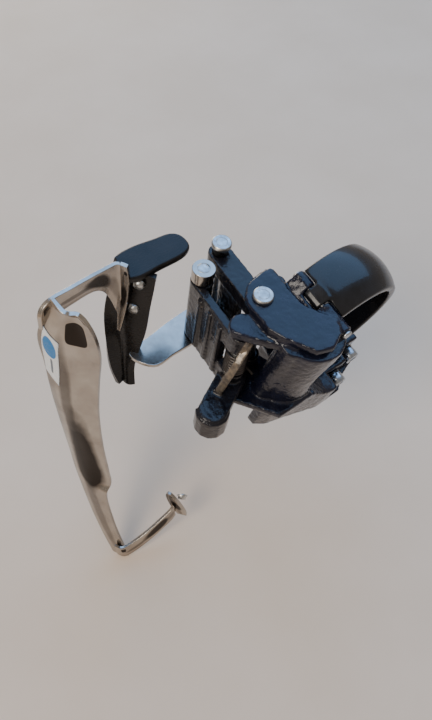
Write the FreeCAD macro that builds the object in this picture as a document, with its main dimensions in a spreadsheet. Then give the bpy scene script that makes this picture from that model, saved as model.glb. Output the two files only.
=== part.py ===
import FreeCAD, Part
import math
import os
import Sketcher
from FreeCAD import Placement, Rotation, Vector

# Front derailleur for a bicycle, 34.9 mm band clamp, cage above the clamp.
# Frame: origin at the centre of the seat tube clamp, +Z up along the seat tube,
# +X forward, +Y to the bicycle's left.  The cage lies on the drive side, at -Y.
# The four pivot pins are parallel and lean back: each is square to a plane that is
# tilted by pin_tilt about Y.  In that plane a point is (y, q), and p runs forward.

doc = FreeCAD.newDocument("FrontDerailleur")

# ---------------------------------------------------------------- sizes, in mm and degrees
SIZES = [
    ("bore_radius", 17.45, "seat tube bore"),
    ("band_rim_radius", 19.6, "band outside at its rims"),
    ("band_crown_radius", 21.8, "band outside at mid height"),
    ("band_half_height", 8.4, "half the height of the band"),
    ("pin_tilt", 8.8, "lean of the pivot pins"),
    ("pin_radius", 2.0, "pivot pins"),
    ("fit_gap", 0.05, "radial running clearance of link on pin"),
    ("open_gap", 0.08, "radial clearance at the cage's outer pivot"),
    ("head_radius", 2.9, "rivet heads"),
    ("head_height", 1.5, "rivet heads"),
    ("axis_a_y", -24.0, "inner link on bracket"),
    ("axis_a_q", 5.1, "inner link on bracket"),
    ("link_dy", 1.9, "from bracket pivot to cage pivot"),
    ("link_dq", 20.5, "from bracket pivot to cage pivot"),
    ("pair_dy", -8.2, "from inner link to outer link"),
    ("pair_dq", -3.0, "from inner link to outer link"),
    ("ear_front", 17.5, "front face of the two front ears"),
    ("ear_thick", 2.4, "bracket ear"),
    ("cage_ear_thick", 1.4, "cage ear"),
    ("ear_back", -14.6, "front face of the two rear ears"),
    ("sheet", 1.2, "cage sheet"),
    ("knuckle_radius", 3.4, "link ends"),
    ("arm_length", 5.0, "length of a link arm along the pins"),
    ("web_thick", 2.6, "web of a link"),
    ("outer_front_end", 11.2, "front face of the outer link"),
    ("side_gap", 0.3, "between link ends and ears"),
    ("hub_radius", 3.3, "cage hub of the outer link pin"),
    ("spring_wire", 1.1, "return spring wire"),
    ("spring_radius", 3.0, "return spring mean radius"),
    ("limit_radius", 1.75, "limit screw thread"),
    ("limit_head_radius", 2.6, "limit screw head"),
    ("clamp_screw_radius", 2.5, "clamp bolt thread"),
    ("clamp_head_radius", 4.2, "clamp bolt head"),
    ("clamp_axis_x", -26.2, "clamp bolt axis"),
    ("hinge_radius", 0.9, "band hinge pin"),
    ("hinge_at", 19.9, "band hinge from the tube axis"),
    ("hinge_angle", -34.0, "band hinge direction"),
    ("knuckle_of_band", 2.1, "band hinge knuckles"),
    ("cable_screw_radius", 2.5, "cable bolt thread"),
    ("cable_head_radius", 4.0, "cable bolt head"),
    ("cable_head_height", 3.4, "cable bolt head"),
    ("washer_thick", 1.6, "cable washer"),
    ("cable_arm_thick", 4.2, "cable arm of the outer link"),
]
sheet = doc.addObject("Spreadsheet::Sheet", "Sizes")
for row, (alias, value, note) in enumerate(SIZES, start=1):
    sheet.set("A%d" % row, alias)
    sheet.set("B%d" % row, str(value))
    sheet.set("C%d" % row, note)
    sheet.setAlias("B%d" % row, alias)
doc.recompute()


def size(alias):
    return float(sheet.get(alias))


TILT = size("pin_tilt")
P_AXIS = Vector(math.cos(math.radians(TILT)), 0, math.sin(math.radians(TILT)))
Q_AXIS = Vector(-math.sin(math.radians(TILT)), 0, math.cos(math.radians(TILT)))
AXIS_A = (size("axis_a_y"), size("axis_a_q"))
AXIS_B = (AXIS_A[0] + size("link_dy"), AXIS_A[1] + size("link_dq"))
AXIS_C = (AXIS_A[0] + size("pair_dy"), AXIS_A[1] + size("pair_dq"))
AXIS_D = (AXIS_B[0] + size("pair_dy"), AXIS_B[1] + size("pair_dq"))


def at_pin(y, q, p):
    """A point given in the tilted frame of the pins."""
    return P_AXIS * p + Q_AXIS * q + Vector(0, y, 0)


# ---------------------------------------------------------------- sketch helpers
def new_body(label):
    body = doc.addObject("PartDesign::Body", label)
    body.Label = label
    return body


def plane_of(body, role):
    for feature in body.Origin.OriginFeatures:
        if feature.Role == role:
            return feature
    raise RuntimeError("no plane " + role)


def sketch_on(body, role, offset):
    sketch = body.newObject("Sketcher::SketchObject", body.Label + "_sketch")
    sketch.AttachmentSupport = [(plane_of(body, role), "")]
    sketch.MapMode = "FlatFace"
    sketch.AttachmentOffset = offset
    return sketch


def pin_sketch(body, p):
    """A sketch square to the pins, whose own x and y are the frame's y and q."""
    turn = Rotation(Vector(1, 0, 0), -TILT)
    return sketch_on(body, "YZ_Plane", Placement(turn.multVec(Vector(0, 0, p)), turn))


def loop(sketch, points):
    """A closed outline.  An entry with three parts is a point and an arc's middle."""
    count = len(points)
    for index in range(count):
        here = points[index]
        there = points[(index + 1) % count]
        start = Vector(here[0], here[1], 0)
        end = Vector(there[0], there[1], 0)
        if len(here) == 3:
            middle = Vector(here[2][0], here[2][1], 0)
            sketch.addGeometry(Part.Arc(start, middle, end))
        else:
            sketch.addGeometry(Part.LineSegment(start, end))


def disc(sketch, centre, radius_alias, grow=0.0):
    """A circle whose radius follows the size sheet."""
    radius = size(radius_alias) + grow
    index = sketch.addGeometry(Part.Circle(Vector(centre[0], centre[1], 0), Vector(0, 0, 1), radius))
    constraint = sketch.addConstraint(Sketcher.Constraint("Radius", index, radius))
    sketch.renameConstraint(constraint, "radius")
    sketch.setExpression("Constraints.radius", "Sizes.%s + %s" % (radius_alias, grow))


def pad(body, sketch, length, back=False, expression=None):
    feature = body.newObject("PartDesign::Pad", body.Label + "_pad")
    feature.Profile = sketch
    feature.Length = length
    feature.Reversed = back
    if expression:
        feature.setExpression("Length", expression)
    doc.recompute()
    return feature


def pocket(body, sketch, length):
    """Cuts forward and back along the sketch's normal, and checks that it cut."""
    before = body.Shape.Volume
    feature = body.newObject("PartDesign::Pocket", body.Label + "_pocket")
    feature.Profile = sketch
    feature.Length = 2 * length
    feature.Midplane = True
    doc.recompute()
    if body.Shape.Volume > before - 0.01:
        raise RuntimeError("pocket cut nothing in " + body.Label)
    return feature


def capsule(centre_1, centre_2, radius):
    """A straight bar with round ends, as an outline."""
    dy, dq = centre_2[0] - centre_1[0], centre_2[1] - centre_1[1]
    span = math.hypot(dy, dq)
    uy, uq = dy / span, dq / span
    ny, nq = -uq * radius, uy * radius
    ends = []
    for centre, sign in ((centre_2, 1), (centre_1, -1)):
        start = (centre[0] + sign * ny, centre[1] + sign * nq)
        middle = (centre[0] + sign * uy * radius, centre[1] + sign * uq * radius)
        stop = (centre[0] - sign * ny, centre[1] - sign * nq)
        ends.append((start[0], start[1], middle))
        ends.append(stop)
    return ends


def edge_names(feature, test):
    names = []
    for index, edge in enumerate(feature.Shape.Edges, start=1):
        if test(edge):
            names.append("Edge%d" % index)
    return names


def round_edges(body, feature, test, radius):
    names = edge_names(feature, test)
    if not names:
        raise RuntimeError("no edge to round in " + body.Label)
    fillet = body.newObject("PartDesign::Fillet", body.Label + "_fillet")
    fillet.Base = (feature, names)
    fillet.Radius = radius
    doc.recompute()
    return fillet


def is_ring(edge, radius, along, at):
    """A full circle of this radius, at this distance along a direction."""
    curve = edge.Curve
    if not isinstance(curve, Part.Circle) or abs(curve.Radius - radius) > 0.01:
        return False
    return abs(curve.Center.dot(along) - at) < 0.01


# ---------------------------------------------------------------- turned pieces
def rivet(label, axis, p_back, p_front, front_head=True, back_head=True):
    """A pivot pin along the pins' direction, its heads domed."""
    body = new_body(label)
    shaft = pin_sketch(body, p_back)
    disc(shaft, axis, "pin_radius")
    feature = pad(body, shaft, p_front - p_back)
    heads = []
    if front_head:
        heads.append((p_front, False, p_front + size("head_height")))
    if back_head:
        heads.append((p_back, True, p_back - size("head_height")))
    for start, back, face in heads:
        sketch = pin_sketch(body, start)
        disc(sketch, axis, "head_radius")
        feature = pad(body, sketch, size("head_height"), back, "Sizes.head_height")
        feature = round_edges(body, feature,
                              lambda edge: is_ring(edge, size("head_radius"), P_AXIS, face), 0.55)
    return body


def screw(label, origin, direction, parts):
    """A screw from discs laid one after another: each is a radius alias and a length."""
    body = new_body(label)
    along = 0.0
    for alias, length, grow in parts:
        sketch = sketch_on(body, "XY_Plane", Placement(Vector(0, 0, along), Rotation()))
        disc(sketch, (0, 0), alias, grow)
        pad(body, sketch, length)
        along += length
    body.Placement = Placement(origin, Rotation(Vector(0, 0, 1), direction))
    return body, along


def hex_socket(body, across, depth, at):
    """A hexagon socket in the end face of a screw's head, at a height on its axis."""
    sketch = sketch_on(body, "XY_Plane", Placement(Vector(0, 0, at), Rotation()))
    corner = across / math.sqrt(3)
    points = []
    for index in range(6):
        angle = math.radians(60 * index)
        points.append((corner * math.cos(angle), corner * math.sin(angle)))
    loop(sketch, points)
    pocket(body, sketch, depth)


def cross_slot(body, length, width, depth, at):
    """A cross recess in the end face of a screw's head."""
    half, side = length / 2, width / 2
    outline = [(half, side), (side, side), (side, half), (-side, half), (-side, side), (-half, side),
               (-half, -side), (-side, -side), (-side, -half), (side, -half), (side, -side),
               (half, -side)]
    sketch = sketch_on(body, "XY_Plane", Placement(Vector(0, 0, at), Rotation()))
    loop(sketch, outline)
    pocket(body, sketch, depth)


# ---------------------------------------------------------------- clamp ring sectors
def ring_sector(body, start, sweep):
    """A stretch of the band, crowned outside, from one azimuth round to another."""
    turn = Placement(Vector(0, 0, 0), Rotation(Vector(0, 1, 0), start))
    sketch = sketch_on(body, "XZ_Plane", turn)
    bore, rim = size("bore_radius"), size("band_rim_radius")
    crown, half = size("band_crown_radius"), size("band_half_height")
    loop(sketch, [(bore, -half), (rim, -half, (crown, 0)), (rim, half), (bore, half)])
    feature = body.newObject("PartDesign::Revolution", body.Label + "_ring")
    feature.Profile = sketch
    feature.ReferenceAxis = (sketch, ["V_Axis"])
    feature.Angle = sweep
    doc.recompute()
    return feature


def block(body, role, outline, start, length):
    """A pad on an origin plane: outline in the sketch's own coordinates."""
    sketch = sketch_on(body, role, Placement(Vector(0, 0, start), Rotation()))
    loop(sketch, outline)
    return pad(body, sketch, length)


def box_outline(a_low, a_high, b_low, b_high):
    return [(a_low, b_low), (a_high, b_low), (a_high, b_high), (a_low, b_high)]


EAR_FRONT = size("ear_front")
EAR_BACK = size("ear_back")
EAR = size("ear_thick")
LUG_BACK = size("outer_front_end") + size("side_gap")
LUG = 3.0
HALF = size("band_half_height")


def on_ring(radius, azimuth):
    """A point of the ring, in the XY plane."""
    angle = math.radians(azimuth)
    return radius * math.cos(angle), radius * math.sin(angle)


HINGE = on_ring(size("hinge_at"), size("hinge_angle"))
KNUCKLE = size("knuckle_of_band")
HINGE_LOW = -12.6
CLAMP_X = size("clamp_axis_x")
LOW_SCREW = (-25.0, 3.4)
HIGH_SCREW = (-25.0, 13.4)

# The cast bracket: saddle round the drive side of the tube, front and rear ears that
# hold the link pins, a rounded underside and a low rear block for the limit screws.
bracket = new_body("clamp_bracket")
ring_sector(bracket, -172.0, 131.4)
# front ear and its arm, down beside the tube
sketch = pin_sketch(bracket, EAR_FRONT - EAR)
loop(sketch, [(-28.9, 3.6, (-27.2, 8.6)), (-21.4, 11.6), (-18.2, 12.3), (-15.4, 12.1), (-14.9, 10.6),
              (-16.0, 3.8), (-16.2, -2.6), (-11.6, -11.2), (-13.4, -15.0), (-18.6, -17.6),
              (-23.2, -16.0), (-27.7, -8.2), (-29.3, -3.6)])
pad(bracket, sketch, EAR)
# shoulder behind the ear, over the front of the ring
sketch = pin_sketch(bracket, 12.4)
loop(sketch, [(-19.0, -6.0), (-14.8, -6.0), (-14.8, 11.9), (-19.0, 11.9)])
pad(bracket, sketch, EAR_FRONT - EAR - 12.4 + 0.2)
# rounded underside between the ears
sketch = sketch_on(bracket, "YZ_Plane", Placement(Vector(0, 0, -15.0), Rotation()))
loop(sketch, [(-17.0, -3.6), (-25.5, -3.6, (-28.6, -6.6)), (-26.6, -11.0, (-22.5, -15.2)),
              (-15.5, -16.4, (-11.0, -13.6)), (-8.0, -8.6), (-12.0, -4.0)])
pad(bracket, sketch, 31.0)
# rear ear for both link pins
sketch = pin_sketch(bracket, EAR_BACK - EAR)
loop(sketch, [(-29.0, 5.1, (-24.0, 10.1)), (-19.0, 5.1), (-14.0, -8.0), (-14.0, -15.5), (-27.0, -15.5),
              (-37.0, -1.0, (-36.8, 4.4)), (-33.2, 6.6)])
pad(bracket, sketch, EAR)
# front lug of the outer link pin
sketch = pin_sketch(bracket, LUG_BACK)
loop(sketch, [(-36.4, 2.1, (-32.2, 6.3)), (-28.0, 2.1), (-26.0, -5.0), (-24.0, -11.6), (-28.4, -8.0)])
pad(bracket, sketch, LUG)
# low block behind the tube, its back wall, and the two flanges the limit screws pass through
block(bracket, "YZ_Plane", [(-28.0, -9.6), (-28.0, -12.4), (-24.5, -14.6), (-14.0, -17.2), (-6.0, -19.4),
                            (-1.6, -19.4), (-1.6, -9.6)], -31.0, 17.0)
block(bracket, "YZ_Plane", [(-3.0, -19.4), (4.0, -19.2), (9.0, -15.6), (17.6, -12.6), (17.6, -7.0),
                            (-3.0, -7.0)], -31.0, 2.2)
block(bracket, "XY_Plane", [(-29.5, -2.4), (-20.6, -2.4), (-20.6, 7.6), (-29.5, 7.6)], -13.6, 2.0)
block(bracket, "XY_Plane", [(-29.5, 7.0), (-20.6, 7.0), (-20.6, 17.6), (-29.5, 17.6)], -9.2, 2.0)
block(bracket, "YZ_Plane", [(6.6, -13.6), (8.6, -13.6), (8.6, -7.2), (6.6, -7.2)], -29.5, 8.9)
# clamp lug: takes the clamp bolt's thread
block(bracket, "XY_Plane", [(-30.6, -14.2), (-12.0, -14.2), (-16.2, -1.3), (-30.6, -1.3)], -12.2, 18.2)
# hinge knuckles, above and below the band's own
for low, high in ((HINGE_LOW, -3.1), (3.1, HALF)):
    sketch = sketch_on(bracket, "XY_Plane", Placement(Vector(0, 0, low), Rotation()))
    loop(sketch, capsule(on_ring(size("hinge_at"), size("hinge_angle") - 12.0), HINGE, KNUCKLE))
    pad(bracket, sketch, high - low)
# bore of the seat tube, through everything
sketch = sketch_on(bracket, "XY_Plane", Placement())
disc(sketch, (0, 0), "bore_radius")
pocket(bracket, sketch, 40.0)
# below the ring the casting stands clear of the tube
sketch = sketch_on(bracket, "XY_Plane", Placement(Vector(0, 0, -HALF - 15.0), Rotation()))
disc(sketch, (0, 0), "bore_radius", 1.2)
pocket(bracket, sketch, 15.0)
# link pins: press fit in the ears
for axis in (AXIS_A, AXIS_C):
    sketch = pin_sketch(bracket, 0.0)
    disc(sketch, axis, "pin_radius")
    pocket(bracket, sketch, 30.0)
# hinge pin bore, screw bores
for centre, alias, grow in ((HINGE, "hinge_radius", 0.0), (LOW_SCREW, "limit_radius", 0.05),
                            (HIGH_SCREW, "limit_radius", 0.05)):
    sketch = sketch_on(bracket, "XY_Plane", Placement())
    disc(sketch, centre, alias, grow)
    pocket(bracket, sketch, 25.0)
sketch = sketch_on(bracket, "XZ_Plane", Placement(Vector(0, 0, 8.0), Rotation()))
disc(sketch, (CLAMP_X, 0.0), "clamp_screw_radius", 0.1)
pocket(bracket, sketch, 7.0)

# The hinged half of the band, with its knuckle and its slotted clamp lug.
band = new_body("clamp_band")
ring_sector(band, -27.5, 199.5)
sketch = sketch_on(band, "XY_Plane", Placement(Vector(0, 0, -2.8), Rotation()))
outward = on_ring(KNUCKLE, size("hinge_angle"))
past = on_ring(KNUCKLE, size("hinge_angle") - 90.0)
loop(sketch, [(HINGE[0] + outward[0], HINGE[1] + outward[1], (HINGE[0] + past[0], HINGE[1] + past[1])),
              (HINGE[0] - outward[0], HINGE[1] - outward[1]), on_ring(17.8, -24.5), on_ring(21.3, -24.5)])
pad(band, sketch, 5.6)
block(band, "XY_Plane", [(-30.6, 1.3), (-18.6, 1.3), (-17.0, 5.6), (-30.6, 5.6)], -6.0, 12.0)
sketch = sketch_on(band, "XY_Plane", Placement())
disc(sketch, HINGE, "hinge_radius", 0.05)
pocket(band, sketch, 20.0)
sketch = sketch_on(band, "XZ_Plane", Placement())
slot_half = size("clamp_screw_radius") + 0.5
loop(sketch, capsule((CLAMP_X - 1.6, 0.0), (CLAMP_X + 0.2, 0.0), slot_half))
pocket(band, sketch, 12.0)

# Hinge pin of the band.
hinge_pin, _ = screw("clamp_hinge_pin", Vector(HINGE[0], HINGE[1], HINGE_LOW - 0.9), Vector(0, 0, 1),
                     [("hinge_radius", 0.9, 0.7), ("hinge_radius", HALF - HINGE_LOW, 0.0),
                      ("hinge_radius", 0.5, 0.5)])

# Clamp bolt with a round head and a hexagon socket, along -Y into the bracket.
clamp_bolt, end = screw("clamp_bolt", Vector(CLAMP_X, -12.0, 0), Vector(0, 1, 0),
                        [("clamp_screw_radius", 18.0, 0.0), ("clamp_head_radius", 4.6, 0.0)])
hex_socket(clamp_bolt, 4.0, 3.0, end)

# Limit screws, heads down, each with a nylon locking sleeve above its flange.
for label, at, top, under in (("low_limit_screw", LOW_SCREW, -7.0, -13.8),
                              ("high_limit_screw", HIGH_SCREW, -4.4, -9.4)):
    limit, end = screw(label, Vector(at[0], at[1], top), Vector(0, 0, -1),
                       [("limit_radius", top - under, 0.0), ("limit_head_radius", 4.4, 0.0)])
    cross_slot(limit, 3.4, 0.9, 1.4, end)
sleeves = new_body("limit_screw_sleeves")
for at, low, length in ((LOW_SCREW, -11.6, 3.0), (HIGH_SCREW, -7.2, 2.0)):
    sketch = sketch_on(sleeves, "XY_Plane", Placement(Vector(0, 0, low), Rotation()))
    disc(sketch, at, "limit_radius", 0.7)
    sketch.addGeometry(Part.Circle(Vector(at[0], at[1], 0), Vector(0, 0, 1),
                                   size("limit_radius") + size("fit_gap")))
    pad(sleeves, sketch, length)

# ---------------------------------------------------------------- links
ARM = size("arm_length")
GAP = size("side_gap")
INNER_FRONT = EAR_FRONT - EAR - GAP
INNER_BACK = EAR_BACK + GAP
RADIUS = size("knuckle_radius")

# Inner link: two arms beside the ears, joined by a web that clears the seat tube.
inner_link = new_body("inner_link")
for start in (INNER_FRONT - ARM, INNER_BACK):
    sketch = pin_sketch(inner_link, start)
    loop(sketch, capsule(AXIS_A, AXIS_B, RADIUS))
    pad(inner_link, sketch, ARM, False, "Sizes.arm_length")
sketch = pin_sketch(inner_link, INNER_BACK)
loop(sketch, [(-26.4, 11.6), (-23.4, 11.6), (-22.4, 20.6), (-25.4, 20.6)])
pad(inner_link, sketch, INNER_FRONT - INNER_BACK)
for axis in (AXIS_A, AXIS_B):
    sketch = pin_sketch(inner_link, 0.0)
    disc(sketch, axis, "pin_radius", size("fit_gap"))
    pocket(inner_link, sketch, 25.0)

# Outer link: wide ribbed casting, with an arm at its rear end for the cable bolt.
OUTER_FRONT = size("outer_front_end")
OUTER_BACK = EAR_BACK + GAP
CABLE = (AXIS_C[0] - 12.0, AXIS_C[1] - 6.2)
CABLE_ARM = size("cable_arm_thick")
outer_link = new_body("outer_link")
side = size("web_thick")
sketch = pin_sketch(outer_link, OUTER_BACK)
loop(sketch, [(AXIS_C[0] - RADIUS, AXIS_C[1]), (AXIS_C[0] - RADIUS + side, AXIS_C[1]),
              (AXIS_D[0] - RADIUS + side, AXIS_D[1]), (AXIS_D[0] - RADIUS, AXIS_D[1])])
pad(outer_link, sketch, OUTER_FRONT - OUTER_BACK)
for axis, spans in ((AXIS_C, ((OUTER_BACK, 7.2), (4.6, OUTER_FRONT - 4.6))),
                    (AXIS_D, ((OUTER_BACK, OUTER_FRONT - OUTER_BACK),))):
    for start, length in spans:
        sketch = pin_sketch(outer_link, start)
        sketch.addGeometry(Part.Circle(Vector(axis[0], axis[1], 0), Vector(0, 0, 1), RADIUS))
        pad(outer_link, sketch, length)
sketch = pin_sketch(outer_link, OUTER_BACK)
loop(sketch, capsule(CABLE, AXIS_C, 4.2))
pad(outer_link, sketch, CABLE_ARM, False, "Sizes.cable_arm_thick")
# ribs along the outside, and the ends of the casting
for share in (0.28, 0.52, 0.76):
    y_at = AXIS_C[0] + share * size("link_dy") - RADIUS
    q_at = AXIS_C[1] + share * size("link_dq")
    sketch = pin_sketch(outer_link, OUTER_BACK + 1.5)
    loop(sketch, [(y_at - 0.9, q_at - 0.9), (y_at + 0.4, q_at - 0.9), (y_at + 0.4, q_at + 0.9),
                  (y_at - 0.9, q_at + 0.9)])
    pad(outer_link, sketch, OUTER_FRONT - OUTER_BACK - 3.0)
# light window low in the web, above the spring
sketch = sketch_on(outer_link, "XZ_Plane", Placement(Vector(0, 0, 33.0), Rotation()))
loop(sketch, [(-6.6, -2.2), (4.0, -0.6), (3.0, 7.2), (-7.4, 5.6)])
pocket(outer_link, sketch, 6.0)
for axis, gap in ((AXIS_C, size("fit_gap")), (AXIS_D, size("open_gap"))):
    sketch = pin_sketch(outer_link, 0.0)
    disc(sketch, axis, "pin_radius", gap)
    pocket(outer_link, sketch, 25.0)
sketch = pin_sketch(outer_link, 0.0)
disc(sketch, CABLE, "cable_screw_radius", size("fit_gap"))
pocket(outer_link, sketch, 25.0)

# ---------------------------------------------------------------- pins
CAGE_EAR = size("cage_ear_thick")
rivet("inner_link_pin", AXIS_A, EAR_BACK - EAR, EAR_FRONT)
rivet("cage_inner_pin", AXIS_B, EAR_BACK - CAGE_EAR, EAR_FRONT)
rivet("outer_link_pin", AXIS_C, EAR_BACK - EAR, LUG_BACK + LUG - 0.4, False, True)
rivet("cage_outer_pin", AXIS_D, EAR_BACK - CAGE_EAR, EAR_FRONT - CAGE_EAR - 0.1, False, True)

# ---------------------------------------------------------------- cable bolt and its washer
# The bolt goes in from the rear: its head and washer are behind the arm.
WASHER = size("washer_thick")
CABLE_AT = at_pin(CABLE[0], CABLE[1], OUTER_BACK + CABLE_ARM - 0.2)
cable_bolt, end = screw("cable_bolt", CABLE_AT, P_AXIS * -1,
                        [("cable_screw_radius", CABLE_ARM - 0.2 + WASHER, 0.0),
                         ("cable_head_radius", size("cable_head_height"), 0.0)])
hex_socket(cable_bolt, 4.0, 2.2, end)
washer = new_body("cable_washer")
sketch = pin_sketch(washer, OUTER_BACK - WASHER)
loop(sketch, box_outline(CABLE[0] - 3.6, CABLE[0] + 3.6, CABLE[1] - 3.6, CABLE[1] + 3.6))
pad(washer, sketch, WASHER)
sketch = pin_sketch(washer, OUTER_BACK - WASHER / 2)
disc(sketch, CABLE, "cable_screw_radius", 0.02)
pocket(washer, sketch, 3.0)

# ---------------------------------------------------------------- pressed cage plates
SHEET = size("sheet")


def section(x, points, thickness):
    """A closed cross-section of pressed sheet at one x: the outer line, then the inner."""
    outer = [Vector(x, y, z) for y, z in points]
    inner = [Vector(x, y + thickness, z) for y, z in reversed(points)]
    front = Part.BSplineCurve()
    front.interpolate(outer)
    rear = Part.BSplineCurve()
    rear.interpolate(inner)
    edges = [front.toShape(), Part.makeLine(outer[-1], inner[0]), rear.toShape(),
             Part.makeLine(inner[-1], outer[0])]
    return Part.Wire(edges)


def pressed(stations, thickness):
    """Sheet lofted along the cage, each station an x and a line of (y, z) points."""
    return Part.makeLoft([section(x, points, thickness) for x, points in stations], True, False)


def slab(points, offset):
    """A flat plate from a planar outline, thickened by a vector."""
    wire = Part.makePolygon([Vector(*point) for point in points] + [Vector(*points[0])])
    return Part.Face(wire).extrude(Vector(*offset))


def tilted_plate(outline, p_start, thickness):
    """A plate square to the pins, from an outline in (y, q)."""
    points = [at_pin(y, q, p_start) for y, q in outline]
    return Part.Face(Part.makePolygon(points + [points[0]])).extrude(P_AXIS * thickness)


def round_bar(axis, p_start, p_end, radius):
    return Part.makeCylinder(radius, p_end - p_start, at_pin(axis[0], axis[1], p_start), P_AXIS)


# inner plate: bottom edge, a point a third up, one two thirds up, top edge
inner_stations = [
    (12.0, [(-42.8, 23.2), (-43.6, 27.0), (-45.6, 31.0), (-48.2, 35.2)]),
    (5.0, [(-43.2, 17.6), (-42.6, 23.0), (-45.4, 28.6), (-49.6, 34.0)]),
    (-2.0, [(-44.2, 14.2), (-42.6, 20.0), (-46.6, 26.0), (-51.2, 32.2)]),
    (-10.0, [(-45.6, 12.2), (-44.6, 18.0), (-48.8, 24.0), (-53.2, 29.8)]),
    (-19.5, [(-44.4, 2.7), (-47.0, 11.0), (-51.0, 19.0), (-54.2, 26.9)]),
    (-31.0, [(-47.2, -1.8), (-50.6, 6.0), (-53.8, 14.4), (-56.2, 22.3)]),
    (-41.0, [(-49.4, -6.6), (-51.6, 0.0), (-53.0, 7.0), (-53.4, 13.6)]),
    (-54.0, [(-49.4, -13.4), (-50.8, -9.4), (-52.4, -5.4), (-53.6, -1.6)]),
    (-64.0, [(-48.6, -19.0), (-50.0, -17.4), (-51.8, -15.4), (-53.4, -13.2)]),
    (-71.0, [(-48.0, -24.4), (-49.4, -23.4), (-50.8, -22.2), (-52.0, -20.8)]),
]
inner_shape = pressed(inner_stations, SHEET)
# lower flange turned inboard along the rear half
flange_stations = [
    (-19.5, -44.0, 2.9, -39.4, 0.2), (-31.0, -46.8, -1.6, -42.4, -4.6),
    (-41.0, -49.0, -6.4, -44.0, -8.9), (-54.0, -49.0, -13.2, -45.0, -15.4),
    (-64.0, -48.2, -18.6, -44.6, -21.2), (-71.0, -47.6, -24.0, -43.8, -25.4),
]
wires = []
for x, y_1, z_1, y_2, z_2 in flange_stations:
    corners = [Vector(x, y_1, z_1), Vector(x, y_2, z_2), Vector(x, y_2, z_2 + SHEET),
               Vector(x, y_1, z_1 + SHEET)]
    wires.append(Part.makePolygon(corners + [corners[0]]))
flange = Part.makeLoft(wires, True, True)
# front ear and rear ear
ear_outline = [(-49.4, 33.6), (-33.0, 33.7), (-24.0, 33.4), (-19.0, 32.2), (-15.6, 29.0), (-14.8, 25.6),
               (-15.6, 22.0), (-18.4, 19.4), (-22.0, 18.8), (-28.0, 19.4), (-31.5, 21.2), (-44.0, 21.2)]
front_ear = tilted_plate(ear_outline, EAR_FRONT - CAGE_EAR, CAGE_EAR)
rear_outline = [(-52.9, 27.2), (-33.0, 30.6), (-24.0, 31.0), (-18.4, 29.4), (-16.6, 25.6), (-18.4, 21.8),
                (-24.0, 20.2), (-31.0, 19.6), (-48.6, 19.4)]
rear_ear = tilted_plate(rear_outline, EAR_BACK - CAGE_EAR, CAGE_EAR)
hub = round_bar(AXIS_D, OUTER_FRONT + GAP, EAR_FRONT - CAGE_EAR + 0.2, size("hub_radius"))
corner = pressed([
    (12.0, [(-42.8, 23.2), (-43.6, 27.0), (-45.6, 31.0), (-48.2, 35.2)]),
    (14.2, [(-42.2, 23.6), (-43.0, 27.2), (-44.8, 31.2), (-47.0, 35.4)]),
], SHEET)
inner_shape = inner_shape.fuse([flange, front_ear, rear_ear, hub, corner])
slot_points = [(-23.6, 19.6), (-26.4, 20.2), (-33.4, 17.4), (-42.6, 9.0), (-46.6, 4.6), (-43.0, 2.2),
               (-34.6, 4.6), (-29.6, 9.4), (-24.8, 16.4)]
slot_tool = slab([(x, -62.0, z) for x, z in slot_points], (0, 14.0, 0))
slot_tool = slot_tool.makeFillet(1.6, [edge for edge in slot_tool.Edges
                                       if abs(edge.tangentAt(edge.FirstParameter).y) > 0.9])
inner_shape = inner_shape.cut(slot_tool)
for axis in (AXIS_B, AXIS_D):
    inner_shape = inner_shape.cut(round_bar(axis, -40, 40 if axis is AXIS_B else EAR_FRONT - CAGE_EAR,
                                            size("pin_radius")))
inner_plate = doc.addObject("Part::Feature", "cage_inner_plate")
inner_plate.Label = "cage_inner_plate"
inner_plate.Shape = inner_shape.removeSplitter()

# outer plate with its front bridge, its flange and its tail bridge
outer_stations = [
    (17.0, [(-68.6, 25.2), (-69.6, 27.6), (-71.4, 29.6), (-72.0, 34.0)]),
    (12.0, [(-67.3, 22.4), (-68.2, 26.0), (-72.2, 29.8), (-74.4, 33.9)]),
    (4.5, [(-66.9, 19.4), (-69.0, 24.4), (-74.0, 29.2), (-76.8, 33.4)]),
    (-7.5, [(-68.2, 17.0), (-71.0, 21.4), (-75.2, 26.2), (-76.8, 30.6)]),
    (-20.5, [(-70.0, 13.4), (-73.4, 18.0), (-76.2, 22.6), (-77.1, 27.0)]),
    (-34.5, [(-71.4, 7.8), (-74.6, 12.6), (-76.8, 17.4), (-77.2, 22.1)]),
    (-47.5, [(-71.9, 2.2), (-75.0, 6.6), (-77.2, 11.2), (-77.6, 15.6)]),
    (-56.5, [(-74.6, -1.9), (-76.4, 1.8), (-78.0, 5.6), (-78.4, 9.3)]),
    (-66.5, [(-75.9, -8.4), (-77.0, -5.6), (-78.4, -2.8), (-79.1, 0.2)]),
    (-74.0, [(-76.0, -14.4), (-77.0, -12.2), (-78.4, -10.0), (-79.4, -8.0)]),
    (-80.5, [(-75.8, -20.2), (-76.8, -19.0), (-78.0, -17.6), (-79.0, -16.2)]),
]
outer_shape = pressed(outer_stations, SHEET)
bridge_wires = []
for y_back, y_front, x_back, x_front, z_back, z_front in (
        (-76.2, -76.2, 7.0, 12.6, 32.6, 32.6), (-72.2, -72.2, 8.5, 17.3, 33.0, 33.0),
        (-62.0, -62.0, 10.0, 17.3, 33.8, 33.8), (-55.0, -54.0, 5.0, 17.3, 33.8, 34.4),
        (-51.3, -48.5, 2.0, 12.6, 32.9, 34.4)):
    corners = [Vector(x_back, y_back, z_back), Vector(x_front, y_front, z_front),
               Vector(x_front, y_front, z_front + SHEET), Vector(x_back, y_back, z_back + SHEET)]
    bridge_wires.append(Part.makePolygon(corners + [corners[0]]))
front_bridge = Part.makeLoft(bridge_wires, True, True)
lap = SHEET + 0.05
lapped = [(x, [(y_at - lap, z_at) for y_at, z_at in points]) for x, points in inner_stations]
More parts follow.
